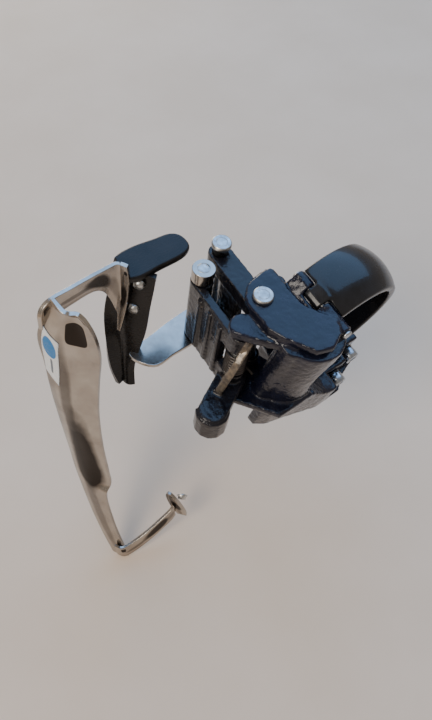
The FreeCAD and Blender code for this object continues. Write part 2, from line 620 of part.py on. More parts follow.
lapped_sheet = pressed(lapped, SHEET)
flap_edge = [(12.0, 36.0), (-3.0, 36.0), (-9.6, 28.6), (-8.0, 26.4), (3.0, 27.6), (12.0, 30.6)]
flap_prism = slab([(x, -62.0, z) for x, z in flap_edge], (0, 20.0, 0))
flap = lapped_sheet.common(flap_prism)
tail_wires = []
for y_at, x_at, z_at in ((-79.0, -80.2, -17.6), (-75.6, -80.6, -20.0), (-66.0, -77.6, -20.8),
                         (-58.0, -73.4, -20.4), (-53.5, -70.6, -20.2)):
    corners = [Vector(x_at, y_at, z_at), Vector(x_at + 5.0, y_at, z_at + 2.6),
               Vector(x_at + 4.4, y_at, z_at + 2.6 + SHEET), Vector(x_at - 0.6, y_at, z_at + SHEET)]
    tail_wires.append(Part.makePolygon(corners + [corners[0]]))
tail_bridge = Part.makeLoft(tail_wires, True, True)
tab_edge = [(-61.2, -11.2), (-60.4, -13.6), (-63.4, -17.4), (-69.6, -22.8), (-71.2, -19.0), (-67.0, -12.6)]
tab = lapped_sheet.common(slab([(x, -62.0, z) for x, z in tab_edge], (0, 20.0, 0)))
outer_shape = outer_shape.fuse([front_bridge, flap, tail_bridge, tab])

# flush rivets: two through the front flap, one through the tail tab
RIVETS = [((7.0, -47.4, 30.9), (0.0, -0.79, -0.61)), ((-2.6, -49.2, 29.4), (0.0, -0.83, -0.56)),
          ((-65.4, -51.9, -16.0), (0.0, -0.66, -0.75))]


def largest(shape):
    """The main solid of a cut, without the slivers it may leave."""
    return max(shape.Solids, key=lambda solid: solid.Volume)


def flush_rivet(centre, outward):
    """A shaft through both sheets with a low head on each side."""
    middle, out = Vector(*centre), Vector(*outward)
    shaft = Part.makeCylinder(1.4, 3.0, middle - out * 1.5, out)
    outer_head = Part.makeCylinder(2.0, 0.5, middle + out * 1.15, out)
    inner_head = Part.makeCylinder(2.0, 0.5, middle - out * 1.65, out)
    return shaft.fuse([outer_head, inner_head]).removeSplitter()


rivet_shapes = [flush_rivet(centre, outward) for centre, outward in RIVETS]
rivet_holes = [Part.makeCylinder(1.4, 6.0, Vector(*centre) - Vector(*outward) * 3.0, Vector(*outward))
               for centre, outward in RIVETS]
inner_plate.Shape = inner_plate.Shape.cut(rivet_holes)
outer_shape = largest(outer_shape.cut([inner_plate.Shape] + rivet_holes))
rivet_shapes = [largest(shape.cut([inner_plate.Shape, outer_shape])) for shape in rivet_shapes]
front_rivets = doc.addObject("Part::Feature", "bridge_rivets")
front_rivets.Label = "bridge_rivets"
front_rivets.Shape = Part.Compound(rivet_shapes[:2])
tail_rivet = doc.addObject("Part::Feature", "tail_rivet")
tail_rivet.Label = "tail_rivet"
tail_rivet.Shape = rivet_shapes[2]
outer_plate = doc.addObject("Part::Feature", "cage_outer_plate")
outer_plate.Label = "cage_outer_plate"
outer_plate.Shape = outer_shape

# generic label, a thin film on the outer face of the outer plate
film = 0.12
film_lapped = [(x, [(y_at - film - 0.01, z_at) for y_at, z_at in points])
               for x, points in outer_stations]
film_edge = [(8.8, 32.4), (4.6, 28.4), (-14.2, 24.6), (-8.4, 29.4)]
film_prism = slab([(x, -90.0, z) for x, z in film_edge], (0, 30.0, 0))
label_patch = doc.addObject("Part::Feature", "label_patch")
label_patch.Label = "label_patch"
label_patch.Shape = pressed(film_lapped, film).common(film_prism)

# Moulded guard: a bar behind the front ear and a strip over the inner plate's top edge.
GUARD_BACK, GUARD_FRONT = 13.4, 15.9
bar = tilted_plate([(-49.8, 30.4), (-49.8, 38.4), (-46.5, 40.4), (-31.0, 38.6), (-28.4, 36.2),
                    (-28.2, 31.4), (-30.4, 29.8), (-47.4, 29.6)], GUARD_BACK, GUARD_FRONT - GUARD_BACK)
guard_wires = []
for x, y_low, z_low, lean, y_high, z_high in (
        (10.0, -46.9, 34.9, 3.3, -49.0, 41.2), (5.0, -48.2, 34.0, 3.9, -50.0, 40.6),
        (-2.0, -49.8, 32.2, 3.8, -51.4, 39.6), (-10.0, -51.8, 29.8, 3.8, -54.4, 36.4),
        (-19.5, -52.8, 26.9, 2.2, -57.2, 30.6), (-27.0, -53.8, 24.2, 1.8, -58.0, 26.4),
        (-33.0, -54.6, 21.4, 1.6, -57.4, 22.8)):
    inboard = y_low + 0.2
    corners = [Vector(x, inboard + lean, z_low - 5.0), Vector(x, inboard + lean + 2.0, z_low - 5.0),
               Vector(x, inboard + 2.0, z_low + 0.8), Vector(x, y_high + 2.0, z_high),
               Vector(x, y_high, z_high), Vector(x, inboard, z_low + 0.5)]
    guard_wires.append(Part.makePolygon(corners + [corners[0]]))
strip = Part.makeLoft(guard_wires, True, True)
rivet_room = [Part.makeCylinder(2.3, 9.0, Vector(*centre), Vector(*outward) * -1)
              for centre, outward in RIVETS]
guard_shape = largest(bar.fuse(strip).cut([inner_plate.Shape, outer_shape] + rivet_room))
guard = doc.addObject("Part::Feature", "plate_guard")
guard.Label = "plate_guard"
guard.Shape = guard_shape

# Return spring: a close coil round the outer link's pin, one leg on the bracket and
# one behind the link's web.
WIRE = size("spring_wire")
COIL = size("spring_radius")
turns, pitch, coil_start = 7.0, 1.3, -6.3
helix = Part.makeHelix(pitch, pitch * turns, COIL)
profile = Part.Wire(Part.makeCircle(WIRE / 2, Vector(COIL, 0, 0), Vector(0, 1, 0)))
coil = Part.Wire(helix).makePipeShell([profile], True, True)
low_leg = Part.makeCylinder(WIRE / 2, 5.0, Vector(COIL, 0, 0), Vector(0, -1, 0))
high_leg = Part.makeCylinder(WIRE / 2, 6.0, Vector(COIL, 0, pitch * turns), Vector(0, 1, 0))
spring_shape = coil.fuse([low_leg, high_leg])
spring = doc.addObject("Part::Feature", "return_spring")
spring.Label = "return_spring"
spring.Shape = spring_shape
# own z along the pins, own x along -y of the frame so that the legs lie along q
spring.Placement = Placement(at_pin(AXIS_C[0], AXIS_C[1], coil_start),
                             Rotation(Vector(0, 1, 0), Q_AXIS, P_AXIS, "ZXY"))

doc.recompute()
problems = []
nodes = [item for item in doc.Objects
         if item.TypeId in ("PartDesign::Body", "Part::Feature") and item.Label != "Sizes"]
for item in doc.Objects:
    if "Invalid" in item.State or "Error" in item.State:
        problems.append(item.Name + " failed")
for item in nodes:
    if item.Shape.isNull() or not item.Shape.isValid() or not item.Shape.Solids:
        problems.append(item.Label + " is not a valid solid")
if problems:
    raise RuntimeError("; ".join(problems))
os.makedirs("parts", exist_ok=True)
for item in nodes:
    item.Shape.exportStep("parts/%s.step" % item.Label)
    box = item.Shape.BoundBox
    print("%-20s solids %d volume %9.1f  x %6.1f %6.1f  y %6.1f %6.1f  z %6.1f %6.1f" % (
        item.Label, len(item.Shape.Solids), item.Shape.Volume, box.XMin, box.XMax, box.YMin,
        box.YMax, box.ZMin, box.ZMax))
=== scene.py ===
import math
import random

import bmesh
import bpy
from mathutils import Matrix, Vector
from mathutils import noise


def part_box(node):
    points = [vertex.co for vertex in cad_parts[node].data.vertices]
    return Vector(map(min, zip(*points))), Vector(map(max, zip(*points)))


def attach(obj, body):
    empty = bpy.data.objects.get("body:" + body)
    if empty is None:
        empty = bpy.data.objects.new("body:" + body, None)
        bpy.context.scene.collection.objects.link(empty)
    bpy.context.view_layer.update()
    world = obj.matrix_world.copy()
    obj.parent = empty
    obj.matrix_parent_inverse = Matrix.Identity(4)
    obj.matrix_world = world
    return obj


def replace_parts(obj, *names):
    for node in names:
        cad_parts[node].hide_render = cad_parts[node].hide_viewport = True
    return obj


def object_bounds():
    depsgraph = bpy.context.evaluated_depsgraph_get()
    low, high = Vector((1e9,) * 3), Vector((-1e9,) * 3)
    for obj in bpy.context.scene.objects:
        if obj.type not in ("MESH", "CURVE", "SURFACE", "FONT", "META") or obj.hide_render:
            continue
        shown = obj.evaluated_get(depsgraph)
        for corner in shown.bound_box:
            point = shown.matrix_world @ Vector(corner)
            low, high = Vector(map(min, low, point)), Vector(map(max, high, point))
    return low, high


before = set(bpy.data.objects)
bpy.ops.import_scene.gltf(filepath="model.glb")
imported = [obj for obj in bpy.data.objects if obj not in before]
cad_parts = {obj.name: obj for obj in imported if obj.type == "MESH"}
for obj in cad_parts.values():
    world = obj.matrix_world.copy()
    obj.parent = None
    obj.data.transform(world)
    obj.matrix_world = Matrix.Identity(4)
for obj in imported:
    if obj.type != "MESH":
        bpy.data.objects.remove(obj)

# A bicycle's front derailleur.  Sizes below are in millimetres in the frame of the CAD:
# +Z up the seat tube, +X forward, +Y to the left; the cage lies at -Y.  The pivot pins
# lean back by TILT: p runs along them, y is the frame's own, and q is square to both.
CAD_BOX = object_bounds()
MM = 0.001
TILT = math.radians(8.8)
P_AXIS = Vector((math.cos(TILT), 0, math.sin(TILT)))
Q_AXIS = Vector((-math.sin(TILT), 0, math.cos(TILT)))
Y_AXIS = Vector((0, 1, 0))
X_AXIS = Vector((1, 0, 0))
Z_AXIS = Vector((0, 0, 1))
AXIS_A = (-24.0, 5.1)
AXIS_B = (-22.1, 25.6)
AXIS_C = (-32.2, 2.1)
AXIS_D = (-30.3, 22.6)
EAR_FRONT = 17.5
EAR_BACK = -14.6
BRACKET_EAR = 2.4
CAGE_EAR = 1.4
SHEET = 1.2
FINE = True


def at_pin(y, q, p):
    return P_AXIS * p + Q_AXIS * q + Y_AXIS * y


# ------------------------------------------------------------------ curves and meshes
def spline(points, per_span, closed=False):
    """Points on a centripetal Catmull-Rom curve through the given ones."""
    pts = [Vector(point) for point in points]
    if closed:
        pts = [pts[-1]] + pts + [pts[0], pts[1]]
    else:
        pts = [pts[0] * 2 - pts[1]] + pts + [pts[-1] * 2 - pts[-2]]
    out = []
    for index in range(1, len(pts) - 2):
        four = pts[index - 1:index + 3]
        knots = [0.0]
        for one, two in zip(four, four[1:]):
            knots.append(knots[-1] + max((two - one).length, 1e-4) ** 0.5)
        for step in range(per_span):
            knot = knots[1] + (knots[2] - knots[1]) * step / per_span
            level = list(four)
            for reach in (1, 2, 2):
                fresh = []
                for k in range(len(level) - 1):
                    start = 1 if len(level) == 2 else k
                    stop = 2 if len(level) == 2 else k + reach
                    share = (knot - knots[start]) / (knots[stop] - knots[start])
                    fresh.append(level[k] * (1 - share) + level[k + 1] * share)
                level = fresh
            out.append(level[0])
    if not closed:
        out.append(pts[-2])
    return out


def add_object(name, mesh, body, material):
    obj = bpy.data.objects.new(name, mesh)
    bpy.context.scene.collection.objects.link(obj)
    if material:
        obj.data.materials.clear()
        obj.data.materials.append(material)
    for face in obj.data.polygons:
        face.use_smooth = True
    if body:
        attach(obj, body)
    return obj


def mesh_from(name, verts, faces):
    mesh = bpy.data.meshes.new(name)
    mesh.from_pydata([tuple(Vector(vert) * MM) for vert in verts], [], faces)
    mesh.validate()
    return mesh


def bake(obj):
    """Turns an object's modifiers into its mesh."""
    bpy.context.view_layer.update()
    graph = bpy.context.evaluated_depsgraph_get()
    mesh = bpy.data.meshes.new_from_object(obj.evaluated_get(graph))
    obj.modifiers.clear()
    obj.data = mesh
    for face in mesh.polygons:
        face.use_smooth = True
    return obj


def bevel(obj, width, segments=2, angle=38):
    mod = obj.modifiers.new("bevel", "BEVEL")
    mod.width = width * MM
    mod.segments = segments
    mod.limit_method = "ANGLE"
    mod.angle_limit = math.radians(angle)
    mod.harden_normals = True
    return mod


def grid(rows, across, along):
    """A smooth grid through rows of points: (vertices, faces, number across)."""
    dense = [spline(row, across) for row in rows]
    wide = len(dense[0])
    columns = [spline([row[j] for row in dense], along) for j in range(wide)]
    long = len(columns[0])
    verts = [columns[j][i] for i in range(long) for j in range(wide)]
    faces = []
    for i in range(long - 1):
        for j in range(wide - 1):
            base = i * wide + j
            faces.append((base, base + 1, base + wide + 1, base + wide))
    return verts, faces, wide


def weld(mesh):
    """Joins points that fall together, where a grid comes to a point."""
    work = bmesh.new()
    work.from_mesh(mesh)
    bmesh.ops.remove_doubles(work, verts=list(work.verts), dist=0.06 * MM)
    bmesh.ops.recalc_face_normals(work, faces=list(work.faces))
    work.to_mesh(mesh)
    work.free()


def sheet_piece(name, rows, across, along, thickness, body, material, edge=0.22, cuts=(),
                side=0.0):
    """Pressed sheet metal: a smooth grid given thickness, cut by prisms, its edges rounded."""
    verts, faces, wide = grid(rows, across, along)
    mesh = mesh_from(name, verts, faces)
    uv = mesh.uv_layers.new(name="flow")
    long = len(verts) // wide
    for loop in mesh.loops:
        index = loop.vertex_index
        uv.data[loop.index].uv = ((index // wide) / (long - 1), (index % wide) / (wide - 1))
    weld(mesh)
    obj = add_object(name, mesh, body, material)
    solid = obj.modifiers.new("solid", "SOLIDIFY")
    solid.thickness = thickness * MM
    solid.offset = side
    for tool in cuts:
        cut = obj.modifiers.new("cut", "BOOLEAN")
        cut.operation = "DIFFERENCE"
        cut.solver = "EXACT"
        cut.object = tool
    bevel(obj, edge)
    bake(obj)
    for tool in cuts:
        bpy.data.objects.remove(tool)
    return obj


def prism(name, outline, normal, depth):
    """A cutting tool: a closed outline of 3-D points pushed both ways along a normal."""
    count = len(outline)
    shift = Vector(normal).normalized() * depth
    verts = [Vector(point) - shift for point in outline] + [Vector(point) + shift for point in outline]
    faces = [tuple(reversed(range(count))), tuple(range(count, 2 * count))]
    for k in range(count):
        other = (k + 1) % count
        faces.append((k, other, other + count, k + count))
    mesh = mesh_from(name, verts, faces)
    weld(mesh)
    return add_object(name, mesh, None, None)


def turned(name, profile, origin, direction, body, material, steps=64, edge=None):
    """A piece turned round an axis, from a profile of (radius, height) points."""
    axis = Vector(direction).normalized()
    side = axis.orthogonal().normalized()
    other = axis.cross(side)
    verts, faces = [], []
    for radius, height in profile:
        for k in range(steps):
            angle = 2 * math.pi * k / steps
            spoke = side * math.cos(angle) + other * math.sin(angle)
            verts.append(Vector(origin) + spoke * radius + axis * height)
    for i in range(len(profile) - 1):
        for k in range(steps):
            nxt = (k + 1) % steps
            faces.append((i * steps + k, i * steps + nxt, (i + 1) * steps + nxt, (i + 1) * steps + k))
    faces.append(tuple(reversed(range(steps))))
    last = (len(profile) - 1) * steps
    faces.append(tuple(last + k for k in range(steps)))
    obj = add_object(name, mesh_from(name, verts, faces), body, material)
    if edge:
        bevel(obj, edge)
        bake(obj)
    return obj


def cast_piece(name, node, voxel, rounds, body, material, extras=(), rough=0.0, grain=2.0):
    """A cast or moulded piece: the CAD solid with lumps added, its edges melted round."""
    work = bmesh.new()
    work.from_mesh(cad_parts[node].data)
    for extra in extras:
        work.from_mesh(extra)
    mesh = bpy.data.meshes.new(name)
    work.to_mesh(mesh)
    work.free()
    obj = add_object(name, mesh, body, material)
    mod = obj.modifiers.new("remesh", "REMESH")
    mod.mode = "VOXEL"
    mod.voxel_size = voxel * MM * (1 if FINE else 1.6)
    smooth = obj.modifiers.new("smooth", "SMOOTH")
    smooth.factor = 0.5
    smooth.iterations = rounds
    bake(obj)
    if rough:
        for vert in obj.data.vertices:
            place = vert.co / MM / grain
            lump = noise.noise(place) + 0.5 * noise.noise(place * 2.3 + Vector((7, 1, 4)))
            vert.co += vert.normal * lump * rough * MM
    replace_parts(obj, node)
    return obj


def lump(points, radius):
    """A mesh of balls strung along points, for a cast fillet: each point may carry a radius."""
    work = bmesh.new()
    for point in points:
        size = radius if len(point) == 3 else point[3]
        spot = Matrix.Translation(Vector(point[:3]) * MM)
        bmesh.ops.create_icosphere(work, subdivisions=3, radius=size * MM, matrix=spot)
    mesh = bpy.data.meshes.new("lump")
    work.to_mesh(mesh)
    work.free()
    return mesh


def hull(points):
    """A convex lump round the given points."""
    work = bmesh.new()
    for point in points:
        work.verts.new(Vector(point) * MM)
    bmesh.ops.convex_hull(work, input=list(work.verts))
    loose = [vert for vert in work.verts if not vert.link_faces]
    bmesh.ops.delete(work, geom=loose, context="VERTS")
    mesh = bpy.data.meshes.new("hull")
    work.to_mesh(mesh)
    work.free()
    return mesh


# ------------------------------------------------------------------ materials
class Paint:
    """A node material that is built up step by step."""

    def __init__(self, name):
        self.material = bpy.data.materials.new(name)
        self.material.use_nodes = True
        self.tree = self.material.node_tree
        self.shader = self.tree.nodes["Principled BSDF"]
        self.place = self.add("ShaderNodeTexCoord").outputs["Object"]

    def add(self, kind, **values):
        node = self.tree.nodes.new(kind)
        for key, value in values.items():
            setattr(node, key, value)
        return node

    def link(self, out, socket):
        self.tree.links.new(out, socket)

    def set(self, **values):
        for key, value in values.items():
            self.shader.inputs[key.replace("_", " ")].default_value = value

    def stretched(self, scale):
        """Object coordinates, in mm, squeezed per axis."""
        node = self.add("ShaderNodeMapping")
        node.inputs["Scale"].default_value = scale
        self.link(self.place, node.inputs["Vector"])
        return node.outputs["Vector"]

    def noise(self, size_mm, detail=4.0, rough=0.55, vector=None):
        node = self.add("ShaderNodeTexNoise")
        node.inputs["Scale"].default_value = 1000.0 / size_mm
        node.inputs["Detail"].default_value = detail
        node.inputs["Roughness"].default_value = rough
        self.link(vector or self.place, node.inputs["Vector"])
        return node.outputs["Fac"]

    def ramp(self, value, low, high, start=0.35, stop=0.65):
        """Maps a value between two stops to a value between low and high."""
        node = self.add("ShaderNodeMapRange")
        node.inputs["From Min"].default_value = start
        node.inputs["From Max"].default_value = stop
        node.inputs["To Min"].default_value = low
        node.inputs["To Max"].default_value = high
        self.link(value, node.inputs["Value"])
        return node.outputs["Result"]

    def mix(self, share, first, second):
        node = self.add("ShaderNodeMix", data_type="RGBA")
        for socket, colour in ((node.inputs[6], first), (node.inputs[7], second)):
            if isinstance(colour, tuple):
                socket.default_value = (*colour, 1.0)
            else:
                self.link(colour, socket)
        self.link(share, node.inputs[0])
        return node.outputs[2]

    def maths(self, kind, first, second):
        node = self.add("ShaderNodeMath", operation=kind)
        for socket, value in ((node.inputs[0], first), (node.inputs[1], second)):
            if isinstance(value, (int, float)):
                socket.default_value = value
            else:
                self.link(value, socket)
        return node.outputs[0]

    def bump(self, *layers):
        """Each layer is (height, strength, depth in mm), laid one on another."""
        normal = None
        for height, strength, depth in layers:
            node = self.add("ShaderNodeBump")
            node.inputs["Strength"].default_value = strength
            node.inputs["Distance"].default_value = depth * MM
            self.link(height, node.inputs["Height"])
            if normal:
                self.link(normal, node.inputs["Normal"])
            normal = node.outputs["Normal"]
        self.link(normal, self.shader.inputs["Normal"])

    def edges(self, start, stop):
        """1 on sharp outward edges, 0 elsewhere."""
        node = self.add("ShaderNodeNewGeometry")
        return self.ramp(node.outputs["Pointiness"], 0.0, 1.0, start, stop)


def plated(name, light, dark, rough_low, rough_high, streak, painted_shade=()):
    """Bright plate on pressed steel: faint press waves, hairline scratches, dull patches.

    Each patch in the last argument is painted shade and a painted dark reflection in the plate's
    bends and hollows, placed by the sheet's own map: its centre, its half sizes and how much it hides.
    """
    paint = Paint(name)
    patches = paint.noise(9.0, 5.0)
    fine = paint.noise(0.5, 3.0)
    scratch = paint.noise(1.0, 6.0, 0.7, paint.stretched(streak))
    colour = paint.mix(paint.ramp(patches, 0.0, 1.0), light, dark)
    spots = paint.ramp(paint.noise(1.7, 8.0, 0.7), 0.0, 1.0, 0.66, 0.74)
    colour = paint.mix(paint.maths("MULTIPLY", spots, 0.35), colour, (0.10, 0.085, 0.07))
    if painted_shade:
        split = paint.add("ShaderNodeSeparateXYZ")
        paint.link(paint.add("ShaderNodeUVMap", uv_map="flow").outputs["UV"], split.inputs["Vector"])
        ragged = paint.ramp(paint.noise(5.0, 4.0), -0.25, 0.25, 0.2, 0.8)
    for along, across, half_along, half_across, hides, power, soft in painted_shade:
        parts = [paint.maths("MULTIPLY", ragged, soft)]
        for value, centre, half in ((split.outputs["X"], along, half_along),
                                    (split.outputs["Y"], across, half_across)):
            offset = paint.maths("ABSOLUTE", paint.maths("SUBTRACT", value, centre), 0.0)
            parts.append(paint.maths("POWER", paint.maths("DIVIDE", offset, half), power))
        reach = paint.maths("ADD", paint.maths("ADD", parts[1], parts[2]), parts[0])
        # painted shade: each patch lays a near-black colour over the plate where its bends and hollows fall dark
        colour = paint.mix(paint.ramp(reach, hides, 0.0, 1.0 - 0.6 * soft, 1.0 + 0.4 * soft), colour,
                           (0.030, 0.025, 0.022))
    paint.link(colour, paint.shader.inputs["Base Color"])
    rough = paint.maths("ADD", paint.ramp(patches, rough_low, rough_high),
                        paint.ramp(scratch, 0.0, 0.10, 0.4, 0.7))
    paint.link(rough, paint.shader.inputs["Roughness"])
    paint.set(Metallic=1.0)
    reach = paint.add("ShaderNodeVectorMath", operation="DISTANCE")
    paint.link(paint.place, reach.inputs[0])
    reach.inputs[1].default_value = at_pin(*AXIS_B, EAR_FRONT) * MM
    away = reach.outputs["Value"]
    turns = paint.maths("SINE", paint.maths("MULTIPLY", away, 2 * math.pi / (0.5 * MM)), 0.0)
    ring = paint.maths("MULTIPLY", turns, paint.ramp(away, 1.0, 0.0, 5.6 * MM, 6.6 * MM))
    ring = paint.maths("MULTIPLY", ring, paint.ramp(paint.noise(4.0, 2.0), 0.0, 1.0, 0.45, 0.6))
    paint.bump((paint.noise(14.0, 1.0), 0.35, 0.25), (scratch, 0.22, 0.012), (fine, 0.10, 0.01),
               (ring, 0.5, 0.02))
    return paint.material


def black_paint(name, tint, rough_low, rough_high, peel, peel_size, coat, wear=0.0, gloss=0.3,
                strip=None):
    """Black paint with orange peel, dust and, at the edges, worn metal.

    The strip is a rib worn bare: a point on it, the way along, the way across and the
    half sizes along and across.
    """
    paint = Paint(name)
    cloud = paint.noise(6.0, 4.0)
    dust = paint.ramp(paint.noise(0.8, 8.0, 0.75), 0.0, 1.0, 0.60, 0.72)
    colour = paint.mix(paint.ramp(cloud, 0.0, 1.0), tint, tuple(c * 1.8 for c in tint))
    colour = paint.mix(paint.maths("MULTIPLY", dust, 0.25), colour, (0.10, 0.09, 0.085))
    rough = paint.ramp(cloud, rough_low, rough_high)
    if wear:
        bare = paint.maths("MULTIPLY", paint.edges(0.53, 0.60),
                           paint.ramp(paint.noise(1.2, 6.0, 0.7), 0.0, 1.0, 0.45, 0.6))
        bare = paint.maths("MULTIPLY", bare, wear)
        if strip:
            point, along, across, half_along, half_across = strip
            parts = []
            for way, half in ((along, half_along), (across, half_across)):
                dot = paint.add("ShaderNodeVectorMath", operation="DOT_PRODUCT")
                paint.link(paint.place, dot.inputs[0])
                dot.inputs[1].default_value = way
                offset = paint.maths("SUBTRACT", dot.outputs["Value"], point.dot(way) * MM)
                offset = paint.maths("ABSOLUTE", offset, 0.0)
                parts.append(paint.ramp(offset, 1.0, 0.0, half * 0.8 * MM, half * 1.1 * MM))
            rub = paint.maths("MULTIPLY", parts[0], parts[1])
            rub = paint.maths("MULTIPLY", rub, paint.ramp(paint.noise(1.6, 6.0, 0.7), 0.15, 0.9, 0.35, 0.6))
            bare = paint.maths("MAXIMUM", bare, rub)
        colour = paint.mix(bare, colour, (0.30, 0.25, 0.19))
        paint.link(bare, paint.shader.inputs["Metallic"])
        rough = paint.maths("ADD", rough, paint.maths("MULTIPLY", bare, 0.15))
    paint.link(colour, paint.shader.inputs["Base Color"])
    paint.link(rough, paint.shader.inputs["Roughness"])
    paint.set(Coat_Weight=coat, Coat_Roughness=0.08, Specular_IOR_Level=gloss)
    paint.bump((paint.noise(peel_size, 3.0, 0.6), 0.8, peel), (paint.noise(0.35, 2.0), 0.2, 0.01))
    return paint.material


def zinc(name, colour, rough):
    paint = Paint(name)
    cloud = paint.noise(2.2, 6.0, 0.65)
    shade = paint.mix(paint.ramp(cloud, 0.0, 1.0), colour, tuple(c * 0.62 for c in colour))
    paint.link(shade, paint.shader.inputs["Base Color"])
    paint.link(paint.ramp(cloud, rough, rough + 0.18), paint.shader.inputs["Roughness"])
    paint.set(Metallic=1.0)
    paint.bump((paint.noise(0.9, 5.0), 0.35, 0.05), (paint.noise(0.2, 2.0), 0.2, 0.01))
    return paint.material


def plastic(name, colour, rough, grain):
    paint = Paint(name)
    cloud = paint.noise(7.0, 5.0)
    shade = paint.mix(paint.ramp(cloud, 0.0, 1.0), colour, tuple(min(c * 1.5 + 0.004, 1) for c in colour))
    paint.link(shade, paint.shader.inputs["Base Color"])
    scuff = paint.noise(0.9, 8.0, 0.7, paint.stretched((1.0, 0.25, 1.0)))
    paint.link(paint.ramp(scuff, rough, rough + 0.22, 0.4, 0.75), paint.shader.inputs["Roughness"])
    paint.set(Specular_IOR_Level=0.3)
    paint.bump((scuff, 0.25, 0.02), (paint.noise(grain, 2.0), 0.3, 0.02))
    return paint.material


def label_film():
    """A white film with a plain blue oval and a grey bar, placed by the patch's own map."""
    paint = Paint("label_film")
    map_node = paint.add("ShaderNodeUVMap", uv_map="patch")
    split = paint.add("ShaderNodeSeparateXYZ")
    paint.link(map_node.outputs["UV"], split.inputs["Vector"])
    across, along = split.outputs["X"], split.outputs["Y"]

    def inside(centre_x, centre_y, half_x, half_y, power):
        """1 inside a rounded shape, 0 outside."""
        parts = []
        for value, centre, half in ((across, centre_x, half_x), (along, centre_y, half_y)):
            offset = paint.maths("ABSOLUTE", paint.maths("SUBTRACT", value, centre), 0.0)
            parts.append(paint.maths("POWER", paint.maths("DIVIDE", offset, half), power))
        return paint.ramp(paint.maths("ADD", parts[0], parts[1]), 1.0, 0.0, 0.92, 1.08)

    white = (0.78, 0.83, 0.88)
    oval = inside(0.47, 0.27, 0.40, 0.20, 2.2)
    bar = inside(0.55, 0.68, 0.07, 0.17, 6.0)
    colour = paint.mix(oval, white, (0.02, 0.20, 0.52))
    colour = paint.mix(bar, colour, (0.16, 0.19, 0.24))
    grime = paint.ramp(paint.noise(1.4, 8.0, 0.7), 0.0, 0.3, 0.5, 0.75)
    colour = paint.mix(grime, colour, (0.45, 0.43, 0.40))
    paint.link(colour, paint.shader.inputs["Base Color"])
    paint.link(paint.ramp(paint.noise(3.0, 4.0), 0.25, 0.4), paint.shader.inputs["Roughness"])
    paint.bump((paint.noise(0.8, 3.0), 0.2, 0.02))
    return paint.material


def floor_paper():
    """Plain pale paper that is only there from its front side."""
    paint = Paint("floor_paper")
    cloud = paint.noise(60.0, 4.0)
    colour = paint.mix(paint.ramp(cloud, 0.0, 1.0), (0.74, 0.58, 0.43), (0.78, 0.62, 0.47))
    paint.link(colour, paint.shader.inputs["Base Color"])
    paint.set(Roughness=0.7)
    clear = paint.add("ShaderNodeBsdfTransparent")
    chooser = paint.add("ShaderNodeMixShader")
    geometry = paint.add("ShaderNodeNewGeometry")
    paint.link(geometry.outputs["Backfacing"], chooser.inputs[0])
    paint.link(paint.shader.outputs[0], chooser.inputs[1])
    paint.link(clear.outputs[0], chooser.inputs[2])
    output = [node for node in paint.tree.nodes if node.type == "OUTPUT_MATERIAL"][0]
    paint.link(chooser.outputs[0], output.inputs["Surface"])
    return paint.material


# painted shade and painted dark reflection on the plates' bends, hollows and folds: along, across, half along,
# half across, how much it hides, power of the outline, softness
INNER_PAINTED_SHADE = ((0.610, 0.42, 0.11, 0.24, 0.95, 2.4, 0.8), (0.91, 0.70, 0.08, 0.05, 0.85, 2.0, 0.8),
               (0.71, 0.66, 0.05, 0.09, 0.50, 2.0, 1.0), (0.80, 0.20, 0.16, 0.16, 0.35, 2.0, 1.0),
               (0.840, 0.60, 0.014, 0.07, 0.85, 2.0, 0.6))
OUTER_PAINTED_SHADE = ((0.19, 0.69, 0.048, 0.17, 0.98, 5.0, 0.12), (0.60, 0.56, 0.16, 0.34, 0.97, 2.0, 0.7),
               (0.42, 0.42, 0.20, 0.13, 0.60, 2.0, 1.0), (0.84, 0.50, 0.14, 0.22, 0.45, 2.0, 1.0),
               (0.30, 0.05, 0.25, 0.16, 0.30, 2.0, 1.0))
NICKEL = plated("cage_nickel", (0.55, 0.51, 0.46), (0.40, 0.36, 0.32), 0.12, 0.22, (1.0, 14.0, 14.0),
                INNER_PAINTED_SHADE)
NICKEL_OUTER = plated("cage_outer_nickel", (0.53, 0.49, 0.44), (0.38, 0.34, 0.30), 0.12, 0.24,
                      (1.0, 14.0, 14.0), OUTER_PAINTED_SHADE)
BRACKET_PAINT = black_paint("bracket_paint", (0.005, 0.006, 0.014), 0.10, 0.22, 0.34, 1.3, 0.30)
BAND_PAINT = black_paint("band_paint", (0.008, 0.008, 0.009), 0.20, 0.32, 0.02, 1.0, 0.35)
RUB_FRONT, RUB_MIDDLE, RUB_REAR = at_pin(-29.6, 1.2, 11.0), at_pin(-37.0, -1.1, 4.6), at_pin(-40.8, 0.2, -10.2)
RUB_ALONG = (RUB_REAR - RUB_FRONT).normalized()
RUB_ACROSS = (RUB_MIDDLE - RUB_FRONT).cross(RUB_REAR - RUB_FRONT).normalized()
RUBBED = ((RUB_FRONT + RUB_REAR) / 2 + at_pin(0.5, -1.1, 0), RUB_ALONG, RUB_ACROSS, 11.0, 1.2)
LINK_PAINT = black_paint("link_paint", (0.006, 0.006, 0.009), 0.15, 0.3, 0.20, 1.1, 0.25, 0.8, 0.3, RUBBED)
RIVET_ZINC = zinc("rivet_zinc", (0.66, 0.67, 0.66), 0.24)
SCREW_ZINC = zinc("screw_zinc", (0.55, 0.60, 0.66), 0.16)
GUARD_BLACK = plastic("guard_plastic", (0.008, 0.007, 0.007), 0.20, 0.5)
SLEEVE_NYLON = plastic("sleeve_nylon", (0.72, 0.72, 0.68), 0.4, 0.4)
SPRING_STEEL = zinc("spring_steel", (0.10, 0.09, 0.085), 0.3)
LABEL_FILM = label_film()


